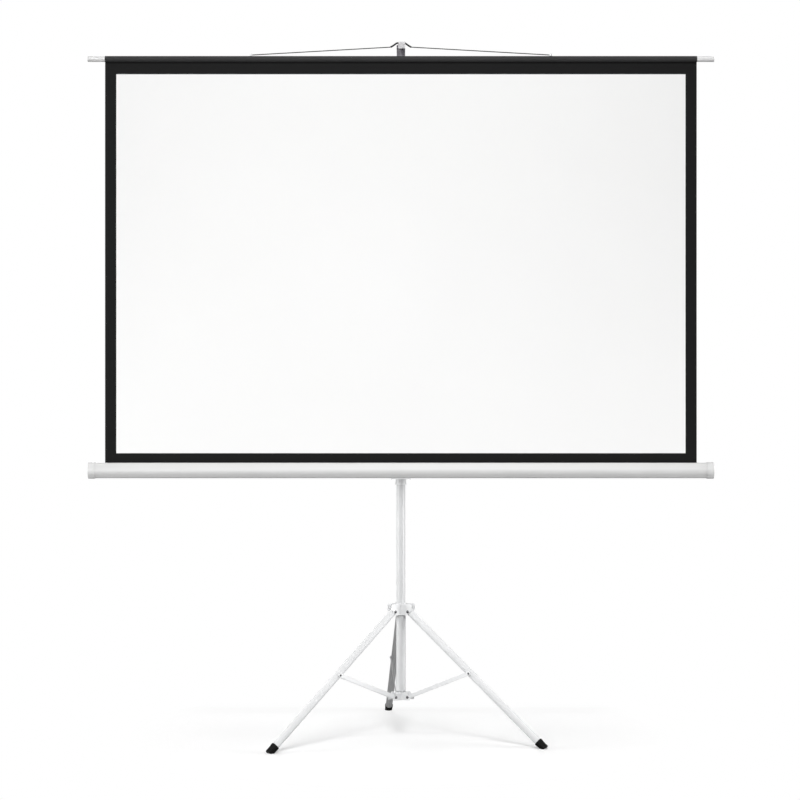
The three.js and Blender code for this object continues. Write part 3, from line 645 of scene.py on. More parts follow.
def plate(outline, thickness):
    shape = bmesh.new()
    shape.faces.new([shape.verts.new(point) for point in outline])
    return extruded(shape, thickness)


def bevel(shape, geometry, width, segments, affect="EDGES", clamp=False):
    bmesh.ops.bevel(shape, geom=geometry, offset=width, offset_type="OFFSET", segments=segments, profile=0.5,
                    affect=affect, clamp_overlap=clamp, material=-1)


def ease(shape, width, segments=2, angle=EASE_ANGLE):
    sharp = [edge for edge in shape.edges if edge.is_manifold and edge.calc_face_angle(0) > angle]
    bevel(shape, sharp, width, segments, clamp=True)
    return shape


def moved(shape, matrix):
    bmesh.ops.transform(shape, matrix=matrix, verts=shape.verts)
    return shape


def shifted(shape, x=0.0, y=0.0, z=0.0):
    return moved(shape, Matrix.Translation((x, y, z)))


def rear_pin(radius, start, end, height, steps=SMALL_ROUND):
    return shifted(moved(disc(radius, start, end, steps), TO_REAR), z=height)


print("shape helpers ready")

# %% [markdown]
# Where two bodies grow into one, as a boss on a collar does, a Boolean modifier joins them and leaves no
# hidden faces inside. It works on objects, so the two shapes become objects for a moment and the result
# comes back as a bmesh. It gives its points in another order each time, so they are put in order and near
# ones are merged, and the piece comes out the same in every run.

# %% Joining and cutting
MERGE_DISTANCE = 1e-5
FLAT_ANGLE = math.radians(0.5)


def corner_places(item):
    return sorted(vert.co[:] for vert in getattr(item, "verts", [item]))


def combined(base, tool, operation):
    first, second = as_object(base), as_object(tool)
    change = first.modifiers.new("combine", "BOOLEAN")
    change.operation = operation
    change.solver = "EXACT"
    change.object = second
    result = bmesh.new()
    result.from_object(first, bpy.context.evaluated_depsgraph_get())
    for working in (first, second):
        bpy.data.meshes.remove(working.data)
    for order in (result.verts, result.edges, result.faces):
        ranks = {item: rank for rank, item in enumerate(sorted(order, key=corner_places))}
        order.sort(key=ranks.get)
    bmesh.ops.remove_doubles(result, verts=result.verts, dist=MERGE_DISTANCE)
    bmesh.ops.dissolve_degenerate(result, dist=MERGE_DISTANCE, edges=result.edges)
    bmesh.ops.dissolve_limit(result, angle_limit=FLAT_ANGLE, verts=result.verts, edges=result.edges)
    return result


def fuse(base, *tools):
    for tool in tools:
        base = combined(base, tool, "UNION")
    return base


def carve(base, *tools):
    for tool in tools:
        base = combined(base, tool, "DIFFERENCE")
    return base


print("joining and cutting ready")

# %% [markdown]
# A finished shape becomes an object that rides on one body of the frame and stands for the solids that it
# replaces. Smooth shading with sharp edges marked by angle keeps round walls round, and normals weighted by
# area keep flat faces flat beside their bevels. Some pieces get a second finish on chosen faces.

# %% Finishing a piece
SMOOTH_ANGLE = math.radians(34)


def piece(name, shape, finish, body, slot, *nodes):
    made = as_object(shape, name)
    made.data.materials.append(finish)
    made.data.shade_smooth()
    made.data.set_sharp_from_angle(angle=SMOOTH_ANGLE)
    made.modifiers.new("steady_normals", "WEIGHTED_NORMAL").keep_sharp = True
    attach(made, body)
    if nodes:
        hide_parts(*nodes)
    print(name, "faces:", len(made.data.polygons))
    return made


def second_finish(made, finish, chosen):
    made.data.materials.append(finish)
    for polygon in made.data.polygons:
        polygon.material_index = int(chosen(polygon))


def refinish(finish, *nodes):
    for node in nodes:
        frame["nodes"][node].data.materials.clear()
        frame["nodes"][node].data.materials.append(finish)
    print(finish.name, "on", ", ".join(nodes))


# %% [markdown]
# ## Mast
# The mast is a plain painted tube. A wider sleeve of thin tube goes round its foot, where the tripod folds,
# and a black bush closes the lower end. Spinning a small closed profile gives a tube with a real wall, so
# its ends look right.

# %% Mast and sleeve
TUBE_WALL = 0.0012

mast_low, mast_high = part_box("mast_tube")
mast_x, mast_y = (mast_low.x + mast_high.x) / 2, (mast_low.y + mast_high.y) / 2
on_mast = Matrix.Translation((mast_x, mast_y, 0))


def round_size(node):
    low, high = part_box(node)
    return (high.x - low.x) / 2, low.z, high.z


def upright_tube(name, inner, finish, body, slot, node):
    radius, low, high = round_size(node)
    shape = ease(tube(radius, inner, low, high), RIM_EASE)
    piece(name, moved(shape, on_mast), finish, body, slot, node)


mast_radius = round_size("mast_tube")[0]
sleeve_radius = round_size("mast_sleeve")[0]
upright_tube("painted_mast", mast_radius - TUBE_WALL, stand_paint, "mast", "grey_paint", "mast_tube")
upright_tube("foot_sleeve", mast_radius + CLEARANCE, stand_paint, "mast", "grey_paint", "mast_sleeve")
refinish(black_plastic, "mast_end_bush")

# %% [markdown]
# ## Tripod hubs
# A hub is a steel collar with three pairs of ears, pressed from plate. Each pair holds one leg or one pair
# of braces on a rivet. One ear is a flat outline with a sloping edge; it is extruded to plate thickness,
# copied round the collar and joined to it. A flat web closes the gap between two pairs, and then all the
# edges are eased together.

# %% Hub maker
LEG_NAMES = ("rear", "left", "right")
HUB_PLATE = 0.0018
COLLAR_RADIUS = 0.017
WEB_SHARE = 0.62

rear_hinge = joints["leg_rear_fold"]["pos_m"]
hinge_radius = math.hypot(rear_hinge[0] - mast_x, rear_hinge[1] - mast_y)


def leg_turn(name):
    pivot = joints[f"leg_{name}_fold"]["pos_m"]
    return math.atan2(pivot[1] - mast_y, pivot[0] - mast_x)


def hub_shape(bore, low, high, near, outer_corners):
    root = math.sqrt(COLLAR_RADIUS ** 2 - near ** 2) - HUB_PLATE
    outline = [(root, low), *outer_corners, (root, high)]
    web_half = COLLAR_RADIUS * WEB_SHARE
    shape = tube(COLLAR_RADIUS, bore, low, high)
    for name in LEG_NAMES:
        turn = leg_turn(name)
        for side in (near, -near - HUB_PLATE):
            ear = plate([(reach, side, height) for reach, height in outline], (0, HUB_PLATE, 0))
            shape = fuse(shape, moved(ear, Matrix.Rotation(turn, 4, "Z")))
        web = slab((COLLAR_RADIUS - HUB_PLATE, -web_half, low),
                   (COLLAR_RADIUS + HUB_PLATE / 2, web_half, high))
        shape = fuse(shape, moved(web, Matrix.Rotation(turn + math.pi / 3, 4, "Z")))
    shape = carve(shape, disc(bore, low - HUB_PLATE, high + HUB_PLATE))
    return moved(ease(shape, EDGE_EASE), on_mast)


print("ears for", ", ".join(LEG_NAMES))

# %% Upper and lower hub
LEG_EAR_GAP = 0.0114
BRACE_EAR_GAP = 0.0138
UPPER_REACH = 0.0425
UPPER_SHOULDER = 0.019
LOWER_REACH = 0.038
LOWER_SHOULDER = 0.007
SLOPE_INSET = 0.005
ROD_WALL = 0.0015

slope_start = hinge_radius - SLOPE_INSET
_, hub_low, hub_high = round_size("upper_hub")
upper_corners = [(slope_start, hub_low), (UPPER_REACH, hub_high - UPPER_SHOULDER), (UPPER_REACH, hub_high)]
upper = hub_shape(sleeve_radius + CLEARANCE, hub_low, hub_high, LEG_EAR_GAP, upper_corners)
piece("pressed_upper_hub", upper, hub_paint, "mast", "grey_paint", "upper_hub")

_, hub_low, hub_high = round_size("lower_hub")
rod_radius = round_size("guide_rod")[0]
lower_corners = [(LOWER_REACH, hub_low), (LOWER_REACH, hub_low + LOWER_SHOULDER), (slope_start, hub_high)]
lower = hub_shape(rod_radius + CLEARANCE, hub_low, hub_high, BRACE_EAR_GAP, lower_corners)
piece("pressed_lower_hub", lower, hub_paint, "lower_slide", "grey_paint", "lower_hub")
upright_tube("bright_guide_rod", rod_radius - ROD_WALL, steel_upright, "lower_slide", "bright_steel",
             "guide_rod")

# %% [markdown]
# ## Legs, feet, braces and rivets
# Everything on one side of the tripod lies in the upright plane of its leg, so each side is made in that
# plane, with X outwards and Z up from the floor, and turned into place. A leg is a tube, cut upright at the
# top so that it clears the collar when it folds. The rubber foot is turned, and its sole is cut level where
# it stands on the floor.

# %% Leg and foot
LEG_ANGLE = math.radians(49)
LEG_RADIUS = 0.011
LEG_HEAD = 0.011
MITRE_GAP = 0.001
FOOT_SOLE = 0.018
FOOT_LENGTH = 0.030
FOOT_RIM = 0.013
RIM_LENGTH = 0.0075
RIM_END = 0.0095
FOOT_TIP = 0.0122
FOOT_GROOVES = (0.013, 0.017, 0.021)
GROOVE_SHAPE = (0.0006, 0.0006, 0.0014, 0.002)

leg_pivot = rear_hinge[2]
leg_reach = leg_pivot / math.cos(LEG_ANGLE)
down_leg = Matrix.Translation((hinge_radius, 0, leg_pivot)) @ Matrix.Rotation(math.pi - LEG_ANGLE, 4, "Y")


def side_plane(name):
    return on_mast @ Matrix.Rotation(leg_turn(name), 4, "Z")


def leg_shape():
    shape = moved(tube(LEG_RADIUS, LEG_RADIUS - TUBE_WALL, -LEG_HEAD, leg_reach - FOOT_SOLE), down_leg)
    mitre = slab((-1, -1, 0), (COLLAR_RADIUS + MITRE_GAP, 1, 1))
    return ease(carve(shape, mitre), RIM_EASE)


def foot_shape():
    top = leg_reach - FOOT_LENGTH
    pocket = LEG_RADIUS + CLEARANCE
    pocket_end = leg_reach - FOOT_SOLE + CLEARANCE
    profile = [(0, pocket_end), (pocket, pocket_end), (pocket, top), (FOOT_RIM, top),
               (FOOT_RIM, top + RIM_LENGTH), (FOOT_TIP, top + RIM_END)]
    for start in FOOT_GROOVES:
        profile += groove(FOOT_TIP, top + start, *GROOVE_SHAPE)
    profile += [(FOOT_TIP, leg_reach), (0, leg_reach)]
    shape = moved(turned(profile), down_leg)
    return ease(carve(shape, slab((0, -1, -1), (1, 1, 0))), EDGE_EASE)


for leg_name in LEG_NAMES:
    leg = f"leg_{leg_name}"
    plane = side_plane(leg_name)
    piece(f"leg_tube_{leg_name}", moved(leg_shape(), plane), leg_paint, leg, "grey_paint", leg)
    piece(f"rubber_foot_{leg_name}", moved(foot_shape(), plane), foot_rubber, leg, "black_rubber",
          f"foot_{leg_name}")

# %% [markdown]
# A brace is a pair of flat straps with round ends. A long slab whose end corners are bevelled by nearly
# half its width gets those ends. The rivet heads are low domes, which a short spun profile gives. One head
# is joined to each strap, and the faces near its middle get the rivet's dark steel, a painted shade dot.

# %% Braces and rivets
BRACE_WIDTH = 0.012
BRACE_PLATE = 0.002
END_SHARE = 0.98
END_STEPS = 10
RIVET_RADIUS = 0.003
RIVET_HEAD = 0.0045
RIVET_RISE = 0.002
RIVET_DOME = ((1, 0), (0.94, 0.35), (0.76, 0.72), (0.42, 0.95), (0, 1))
HEAD_SHARE = 0.7
STUB_GAP = 0.00015
JOINT_HEIGHT = 0.211

brace_pivot = joints["brace_rear_fold"]["pos_m"][2]
joint_reach = hinge_radius + (leg_pivot - JOINT_HEIGHT) * math.tan(LEG_ANGLE)
brace_rise = math.atan2(JOINT_HEIGHT - brace_pivot, joint_reach - hinge_radius)
brace_length = math.hypot(JOINT_HEIGHT - brace_pivot, joint_reach - hinge_radius)
up_brace = Matrix.Translation((hinge_radius, 0, brace_pivot)) @ Matrix.Rotation(-brace_rise, 4, "Y")
strap_outer = LEG_EAR_GAP + BRACE_PLATE


def strap_shape():
    half = BRACE_WIDTH / 2
    shape = slab((-half, LEG_EAR_GAP, -half), (brace_length + half, strap_outer, half))
    ends = [edge for edge in shape.edges if abs((edge.verts[0].co - edge.verts[1].co).y) > BRACE_PLATE / 2]
    bevel(shape, ends, half * END_SHARE, END_STEPS)
    return ease(shape, EDGE_EASE)


def rivet_shape(start, end, heads):
    dome = [(RIVET_HEAD * across, RIVET_RISE * up) for across, up in RIVET_DOME]
    profile = [(0, start), (RIVET_RADIUS, start)]
    if heads == 2:
        profile = [(radius, start - rise) for radius, rise in reversed(dome)] + [(RIVET_RADIUS, start)]
    profile += [(RIVET_RADIUS, end)] + [(radius, end + rise) for radius, rise in dome]
    return moved(turned(profile, SMALL_ROUND), TO_REAR)


pin_half = LEG_EAR_GAP + HUB_PLATE + CLEARANCE
stub_end = BRACE_EAR_GAP + HUB_PLATE + CLEARANCE
for leg_name in LEG_NAMES:
    plane = side_plane(leg_name)
    pin = shifted(rivet_shape(-pin_half, pin_half, 2), hinge_radius, 0, leg_pivot)
    piece(f"leg_rivet_{leg_name}", moved(pin, plane), rivet_steel, "mast", "bright_steel",
          f"leg_pin_{leg_name}")
    for side, facing in (("a", 0), ("b", math.pi)):
        about = Matrix.Rotation(facing, 4, "Z")
        across = Matrix.Scale(-1 if facing else 1, 4, (0, 1, 0))
        strap = moved(moved(strap_shape(), up_brace), across)
        head = moved(rivet_shape(LEG_EAR_GAP + BRACE_PLATE / 2, strap_outer, 1), about)
        face_outwards(strap)
        strap = fuse(strap, shifted(head, joint_reach, 0, JOINT_HEIGHT))
        brace = piece(f"brace_strap_{leg_name}_{side}", moved(strap, plane), hub_paint, f"brace_{leg_name}",
                      "grey_paint", f"brace_{leg_name}_{side}")
        head_place = plane @ about @ Vector((0, strap_outer + RIVET_RISE / 2, 0))
        head_place += plane.to_3x3() @ Vector((joint_reach, 0, JOINT_HEIGHT))
        # painted shade: a dark dot in the middle of the strap's rivet head
        second_finish(brace, rivet_steel,
                      lambda polygon: (polygon.center - head_place).length < RIVET_HEAD * HEAD_SHARE)
        stub = moved(rivet_shape(LEG_EAR_GAP + STUB_GAP, stub_end, 1), about)
        piece(f"hub_rivet_{leg_name}_{side}", moved(shifted(stub, hinge_radius, 0, brace_pivot), plane),
              rivet_steel, "lower_slide", "bright_steel", f"brace_rivet_{leg_name}_{side}")

# %% [markdown]
# The rear leg stands in the shade behind the mast. On a set a flag in front of the fills keeps their light
# off it. Light linking does the same here: the three fills leave out the pieces of one small collection.

# %% Flag for the rear leg
SHADED_PIECES = ("leg_tube_rear", "brace_strap_rear_a", "brace_strap_rear_b")
FLAGGED_LAMPS = ("front_fill", "left_fill", "right_fill")

shaded = bpy.data.collections.new("shaded_by_flag")
for shaded_name in SHADED_PIECES:
    shaded.objects.link(bpy.data.objects[shaded_name])
for entry in shaded.collection_objects:
    entry.light_linking.link_state = "EXCLUDE"
for lamp_name in FLAGGED_LAMPS:
    bpy.data.objects[lamp_name].light_linking.receiver_collection = shaded
print("out of the fills:", ", ".join(SHADED_PIECES))

# %% [markdown]
# ## Extension pole and its lock
# The pole is a bright tube that slides in the mast. A ribbed black collar on top of the mast holds the
# clamping screw, whose knob has five lobes for the fingers. The lobes come from moving the points of a
# circle in along a wave before it is extruded. The carriage further down has a knob of the same kind.

# %% Pole
pole_radius, _, pole_top = round_size("extension_pole")
upright_tube("bright_pole", pole_radius - TUBE_WALL, steel_upright, "pole", "bright_steel", "extension_pole")
refinish(black_plastic, "pole_guide_bush")

# %% Knobs
KNOB_POINTS = 100
KNOB_LOBES = 5
KNOB_WAVE = 0.0012
KNOB_THICKNESS = 0.013
KNOB_EASE = 0.0018
STEEP_ANGLE = math.radians(60)
KNOB_DISH = ((0, -0.0014), (0.4, -0.0008), (0.55, 0.001), (0, 0.001))
SCREW_RADIUS = 0.003
SCREW_OVERLAP = 0.001


def knob_shape(node):
    low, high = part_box(node)
    radius = (high.x - low.x) / 2
    shape = bmesh.new()
    bmesh.ops.create_circle(shape, cap_ends=True, segments=KNOB_POINTS, radius=radius)
    for vert in shape.verts:
        wave = KNOB_WAVE * (1 - math.cos(KNOB_LOBES * math.atan2(vert.co.y, vert.co.x)))
        vert.co *= (radius - wave) / radius
    ease(extruded(shape, (0, 0, KNOB_THICKNESS)), KNOB_EASE, 4, STEEP_ANGLE)
    dish = turned([(radius * share, KNOB_THICKNESS + rise) for share, rise in KNOB_DISH])
    screw = disc(SCREW_RADIUS, low.y - high.y + KNOB_THICKNESS, SCREW_OVERLAP, SMALL_ROUND)
    shape = fuse(carve(shape, dish), screw)
    middle = (low + high) / 2
    return shifted(moved(shape, TO_REAR), middle.x, high.y - KNOB_THICKNESS, middle.z)


for name in ("pole", "carriage"):
    knob = f"{name}_lock_knob"
    piece(f"{name}_knob_lobed", knob_shape(knob), black_plastic, f"{name}_knob", "black_plastic", knob)

# %% Lock collar
BOSS_RADIUS = 0.0063
BOSS_OVERLAP = 0.002
BORE_LENGTH = 0.05
RIB_COUNT = 4
RIB_START = 0.003
RIB_PITCH = 0.005
RIB_SHAPE = (0.0008, 0.0008, 0.0022, 0.003)

collar_radius, collar_low, collar_high = round_size("pole_lock_collar")
collar_bore = mast_radius + CLEARANCE
collar_neck = pole_radius + SLIDING_GAP
collar_step = mast_high.z + CLEARANCE
collar_profile = [(collar_bore, collar_low), (collar_radius, collar_low)]
for rib in range(RIB_COUNT):
    collar_profile += groove(collar_radius, collar_low + RIB_START + rib * RIB_PITCH, *RIB_SHAPE)
collar_profile += [(collar_radius, collar_high), (collar_neck, collar_high), (collar_neck, collar_step),
                   (collar_bore, collar_step)]
screw_height = joints["pole_lock_turn"]["pos_m"][2]
boss_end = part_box("pole_lock_collar")[1].y - mast_y
collar_boss = rear_pin(BOSS_RADIUS, collar_radius - BOSS_OVERLAP, boss_end, screw_height)
screw_bore = rear_pin(SCREW_RADIUS + SLIDING_GAP, 0, BORE_LENGTH, screw_height)
collar_shape = ease(carve(fuse(turned(collar_profile), collar_boss), screw_bore), RIM_EASE)
piece("ribbed_lock_collar", moved(collar_shape, on_mast), black_plastic, "mast", "black_plastic",
      "pole_lock_collar")

# %% [markdown]
# ## Hook bracket
# A pressed cap sits on the pole. From it a post rises and bends forward into a short arm, and the arm ends
# in an upright lip that keeps the hanger from slipping off. A gusset stiffens the bend. Each flat is a slab
# and the whole is joined. Everything behind the lip gets a dark grey, painted shade for the recess.

# %% Hook
HOOK_PLATE = 0.003
LIP_PLATE = 0.002
LIP_LEFT = 0.008
LIP_ABOVE = 0.006
LIP_BELOW = 0.0142
ARM_HALF = 0.010
POST_FRONT = 0.011
GUSSET_X = 0.004
WELD_DEPTH = 0.001
PAINTED_SHADE_START = 0.0005

hook_low, hook_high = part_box("hook_bracket")
hook_radius = hook_high.x - mast_x
seat = hook_high.z - LIP_ABOVE
lip_front = hook_low.y - mast_y
lip_back = lip_front + LIP_PLATE
post_back = HOOK_PLATE - POST_FRONT
cap_seat = pole_top + CLEARANCE
cap_top = cap_seat + HOOK_PLATE
cap_inner = pole_radius + CLEARANCE
weld = cap_top - WELD_DEPTH
cap = turned([(cap_inner, hook_low.z), (hook_radius, hook_low.z), (hook_radius, cap_top), (0, cap_top),
              (0, cap_seat), (cap_inner, cap_seat)])
gusset_corners = [(-POST_FRONT + WELD_DEPTH, weld), (-POST_FRONT + WELD_DEPTH, seat - HOOK_PLATE / 2),
                  (lip_back, seat - HOOK_PLATE / 2)]
hook_flats = [
    slab((-hook_radius, -POST_FRONT, cap_top - HOOK_PLATE), (hook_radius, 0, cap_top)),
    slab((-hook_radius, -POST_FRONT, weld), (hook_radius, post_back, seat)),
    slab((-ARM_HALF, lip_front, seat - HOOK_PLATE), (ARM_HALF, post_back, seat)),
    slab((-LIP_LEFT, lip_front, seat - LIP_BELOW), (hook_radius, lip_back, hook_high.z)),
    plate([(GUSSET_X, y, z) for y, z in gusset_corners], (LIP_PLATE, 0, 0)),
]
hook_shape = ease(fuse(cap, *hook_flats), FOLD_EASE)
hook = piece("pressed_hook", moved(hook_shape, on_mast), hook_paint, "pole", "grey_paint", "hook_bracket")
# painted shade: faces behind the lip's front get the dark grey of the shaded recess
painted_shade_from = mast_y + lip_front + LIP_PLATE - PAINTED_SHADE_START
second_finish(hook, hook_zinc, lambda polygon: polygon.center.y > painted_shade_from)
print("hook faces in painted_shade:", sum(polygon.material_index for polygon in hook.data.polygons))

# %% [markdown]
# ## Carriage and saddle
# The carriage slides on the mast. It has a block in front, which the case turns on, and a boss behind for
# its clamping screw. The saddle is one folded plate: its floor lies under the case, its back stands behind
# it, and its two ends are turned down. Folded sheet is made as it is folded: from one face, the edges are
# pulled out one by one, the folds are rounded, and then the sheet gets its thickness.

# %% Carriage
BLOCK_HALF_WIDTH = 0.013
BLOCK_HALF_HEIGHT = 0.016
BLOCK_FRONT = 0.033
BAND_RADIUS = 0.0161
BEAD = 0.0015
BEAD_HEIGHT = 0.005
BEAD_END = 0.0075
LOCK_BOSS_RADIUS = 0.008
BORE_REACH = 0.06
PIVOT_BORE = 0.0043
PIVOT_DEPTH = 0.0128
BORE_EXCESS = 0.01
AXLE_STEPS = 40
CAST_EASE = 0.0006

carriage_low, carriage_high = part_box("carriage")
case_axis_z = joints["case_pivot"]["pos_m"][2]
runs_on = mast_radius + SLIDING_GAP
band = turned([(runs_on, carriage_low.z), (BAND_RADIUS + BEAD, carriage_low.z),
               (BAND_RADIUS + BEAD, carriage_low.z + BEAD_HEIGHT), (BAND_RADIUS, carriage_low.z + BEAD_END),
               (BAND_RADIUS, carriage_high.z), (runs_on, carriage_high.z)])
front_block = slab((-BLOCK_HALF_WIDTH, -BLOCK_FRONT, case_axis_z - BLOCK_HALF_HEIGHT),
                   (BLOCK_HALF_WIDTH, 0, case_axis_z + BLOCK_HALF_HEIGHT))
screw_z = joints["carriage_lock_turn"]["pos_m"][2]
rear_boss = rear_pin(LOCK_BOSS_RADIUS, 0, carriage_high.y - mast_y, screw_z, AXLE_STEPS)
mast_bore = disc(runs_on, carriage_low.z - BORE_EXCESS, carriage_high.z + BORE_EXCESS)
rear_bore = rear_pin(SCREW_RADIUS + SLIDING_GAP, 0, BORE_REACH, screw_z)
pivot_bore = rear_pin(PIVOT_BORE, -BORE_REACH, PIVOT_DEPTH - BLOCK_FRONT, case_axis_z, AXLE_STEPS)
carriage_shape = carve(fuse(band, front_block, rear_boss), mast_bore, rear_bore, pivot_bore)
piece("cast_carriage", moved(ease(carriage_shape, CAST_EASE), on_mast), hub_paint, "carriage", "grey_paint",
      "carriage")
refinish(steel_upright, "case_pivot_bolt")

# %% Saddle
SADDLE_PLATE = 0.003
FOLD_RADIUS = 0.002
FOLD_STEPS = 5

saddle_low, saddle_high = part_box("case_saddle")
case_low, case_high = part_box("case_tube")
floor_z = case_low.z - CLEARANCE
back_y = saddle_high.y - SADDLE_PLATE
half_x = saddle_high.x - SADDLE_PLATE
saddle = bmesh.new()
corners = [(-half_x, saddle_low.y), (half_x, saddle_low.y), (half_x, back_y), (-half_x, back_y)]
saddle_floor = saddle.faces.new([saddle.verts.new((x, y, floor_z)) for x, y in corners])
_, right_edge, back_edge, left_edge = saddle_floor.edges
for folded, height in ((right_edge, saddle_low.z), (left_edge, saddle_low.z), (back_edge, saddle_high.z)):
    pull_edges(saddle, [folded], (0, 0, height - floor_z))
face_outwards(saddle)
if saddle_floor.normal.z > 0:
    bmesh.ops.reverse_faces(saddle, faces=saddle.faces)
bevel(saddle, [right_edge, left_edge, back_edge], FOLD_RADIUS, FOLD_STEPS)
thicken(saddle, -SADDLE_PLATE)
piece("folded_saddle", ease(saddle, FOLD_EASE), hub_paint, "case", "grey_paint", "case_saddle")

# %% [markdown]
# ## Case
# The case is a formed tube with flat faces and round corners. Its upper front face leans back and its lower
# front face tucks under, so one catches the light and the other falls into shade. The outline is a face
# with seven corners, each rounded by a bevel of its vertex. Its border is drawn out along X, opened by a
# slot for the cloth and given a wall.

# %% Case outline
CASE_CORNERS = (
    # back from the axis, up from the axis, corner radius
    (-0.025, -0.0042, 0.018),
    (-0.012, -0.0235, 0.009),
    (0.010, -0.0235, 0.007),
    (0.024, -0.010, 0.007),
    (0.024, 0.012, 0.006),
    (0.008, 0.0235, 0.005),
    (-0.013, 0.0235, 0.006),
)
CORNER_STEPS = 8

case_y = joints["roller_spin"]["pos_m"][1]


def case_outline(x, outwards=0.0):
    shape = bmesh.new()
    count = len(CASE_CORNERS)
    verts = [shape.verts.new((x, case_y + y, case_axis_z + z)) for y, z, _ in CASE_CORNERS]
    shape.faces.new(verts)
    offsets = []
    for index, (_, _, radius) in enumerate(CASE_CORNERS):
        here, before, after = verts[index].co, verts[index - 1].co, verts[(index + 1) % count].co
        half = (before - here).angle(after - here) / 2
        offsets.append(radius / math.tan(half))
    for vert, offset in zip(verts, offsets):
        bevel(shape, [vert], offset, CORNER_STEPS, "VERTICES")
    if outwards:
        face = next(iter(shape.faces))
        tangents = {loop.vert: (loop.link_loop_next.vert.co - loop.link_loop_prev.vert.co).normalized()
                    for loop in face.loops}
        side = 1 if face.normal.x > 0 else -1
        for vert, tangent in tangents.items():
            vert.co += outwards * side * tangent.cross(Vector((1, 0, 0)))
    return shape


print("case outline has", len(case_outline(0).verts), "points")

# %% Case tube
CASE_WALL = 0.001
CASE_SLOT = 0.004
CUT_DISTANCE = 1e-7

half_case = case_high.x
roller_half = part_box("roller_tube")[1].x
slot_y = (cloth_low.y + cloth_high.y) / 2

case_shell = case_outline(-half_case)
bmesh.ops.delete(case_shell, geom=case_shell.faces[:], context="FACES_ONLY")
pull_edges(case_shell, case_shell.edges[:], (2 * half_case, 0, 0))
cuts = [((0, y, 0), (0, 1, 0)) for y in (slot_y - CASE_SLOT / 2, slot_y + CASE_SLOT / 2)]
cuts += [((x, 0, 0), (1, 0, 0)) for x in (-roller_half, roller_half)]
for point, normal in cuts:
    everything = case_shell.verts[:] + case_shell.edges[:] + case_shell.faces[:]
    bmesh.ops.bisect_plane(case_shell, geom=everything, dist=CUT_DISTANCE, plane_co=point, plane_no=normal)


def in_slot(face):
    middle = face.calc_center_median()
    return abs(middle.y - slot_y) < CASE_SLOT / 2 and abs(middle.x) < roller_half and middle.z > case_axis_z


bmesh.ops.delete(case_shell, geom=[face for face in case_shell.faces if in_slot(face)], context="FACES")
face_outwards(case_shell)
outermost = max(case_shell.faces, key=lambda face: face.calc_center_median().y)
if outermost.normal.y < 0:
    bmesh.ops.reverse_faces(case_shell, faces=case_shell.faces)
thicken(case_shell, CASE_WALL)
piece("formed_case", case_shell, case_paint, "case", "case_paint", "case_tube")

# %% [markdown]
# The end caps fit over the case like lids. Each one is the same outline moved outwards, extruded, hollowed
# to take the case, and given the boss that holds the axle. A rounded rim keeps the open edge from looking
# like paper.

# %% Case end caps
CAP_LIP = 0.0016
CAP_LENGTH = 0.020
CAP_END = 0.003
CAP_EASE = 0.0009
AXLE_BOSS = 0.008
AXLE_BOSS_LENGTH = 0.015
AXLE_BORE = 0.0043
AXLE_BORE_LENGTH = 0.03
CAP_OVERLAP = 0.001

for side, sign in (("left", -1), ("right", 1)):
    cap_low, cap_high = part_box(f"case_cap_{side}")
    end_x = cap_low.x if sign < 0 else cap_high.x
    inwards = (-sign * CAP_LENGTH, 0, 0)
    cap_body = ease(extruded(case_outline(end_x, CAP_LIP), inwards), CAP_EASE, 3, STEEP_ANGLE)
    hollow = extruded(case_outline(end_x - sign * CAP_END, CLEARANCE), inwards)
    boss_start = end_x - sign * (CAP_END - CAP_OVERLAP)
    to_x = Matrix.Translation((boss_start, case_y, case_axis_z))
    to_x = to_x @ Matrix.Rotation(-sign * math.pi / 2, 4, "Y")
    boss = moved(disc(AXLE_BOSS, 0, AXLE_BOSS_LENGTH, AXLE_STEPS), to_x)
    bore = moved(disc(AXLE_BORE, CAP_OVERLAP, AXLE_BORE_LENGTH, AXLE_STEPS), to_x)
    cap_shape = carve(fuse(carve(cap_body, hollow), boss), bore)
    piece(f"case_lid_{side}", cap_shape, case_paint, "case", "case_paint", f"case_cap_{side}")

# %% [markdown]
# ## Spring roller
# Inside the case the cloth winds on a steel tube. Its works keep the frame's own solids, because they are
# sealed in, and only get finishes. The wound cloth is a real spiral: one edge along the roller is pulled
# out again and again while it turns and moves away from the axis.

# %% Roller works
refinish(steel_across, "roller_tube", "gudgeon_pin", "spring_arbor", "roller_spring")
refinish(black_plastic, "roller_plug_left", "roller_plug_right")

# %% Wound cloth
TURNS_LEFT = 2
STEPS_PER_TURN = 48
WOUND_SHEET = 0.00035
WOUND_DEPTH = 0.00095

roll_low, roll_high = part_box("cloth_roll")
roll_outer = (roll_high.z - roll_low.z) / 2
roll_inner = roll_outer - WOUND_DEPTH
spiral = bmesh.new()
lead = spiral.edges.new([spiral.verts.new((x, 0, roll_inner)) for x in (roll_low.x, roll_high.x)])
steps = TURNS_LEFT * STEPS_PER_TURN
growth = ((roll_outer - WOUND_SHEET) / roll_inner) ** (1 / steps)
one_step = Matrix.Rotation(2 * math.pi / STEPS_PER_TURN, 3, "X")
for _ in range(steps):
    ends = new_verts(bmesh.ops.extrude_edge_only(spiral, edges=[lead]))
    lead = next(edge for edge in ends[0].link_edges if edge.other_vert(ends[0]) in ends)
    bmesh.ops.rotate(spiral, cent=(0, 0, 0), matrix=one_step, verts=ends)
    bmesh.ops.scale(spiral, vec=(1, growth, growth), verts=ends)
face_outwards(spiral)
thicken(spiral, WOUND_SHEET)
shifted(spiral, 0, case_y, case_axis_z)
piece("wound_cloth", spiral, hem_cloth, "roller", "black_fabric", "cloth_roll")

# %% [markdown]
# ## Bar and hem
# The top bar is a painted tube with turned plugs in its ends. The cloth's top edge is sewn round it as a
# sleeve, the hem, which shows as a soft roll above the black border. The sewn line is a row of small
# stitches, low on the back of the roll.

# %% Top bar
BAR_WALL = 0.001
BAR_PLUG = 0.018
PLUG_EASE = 0.0008

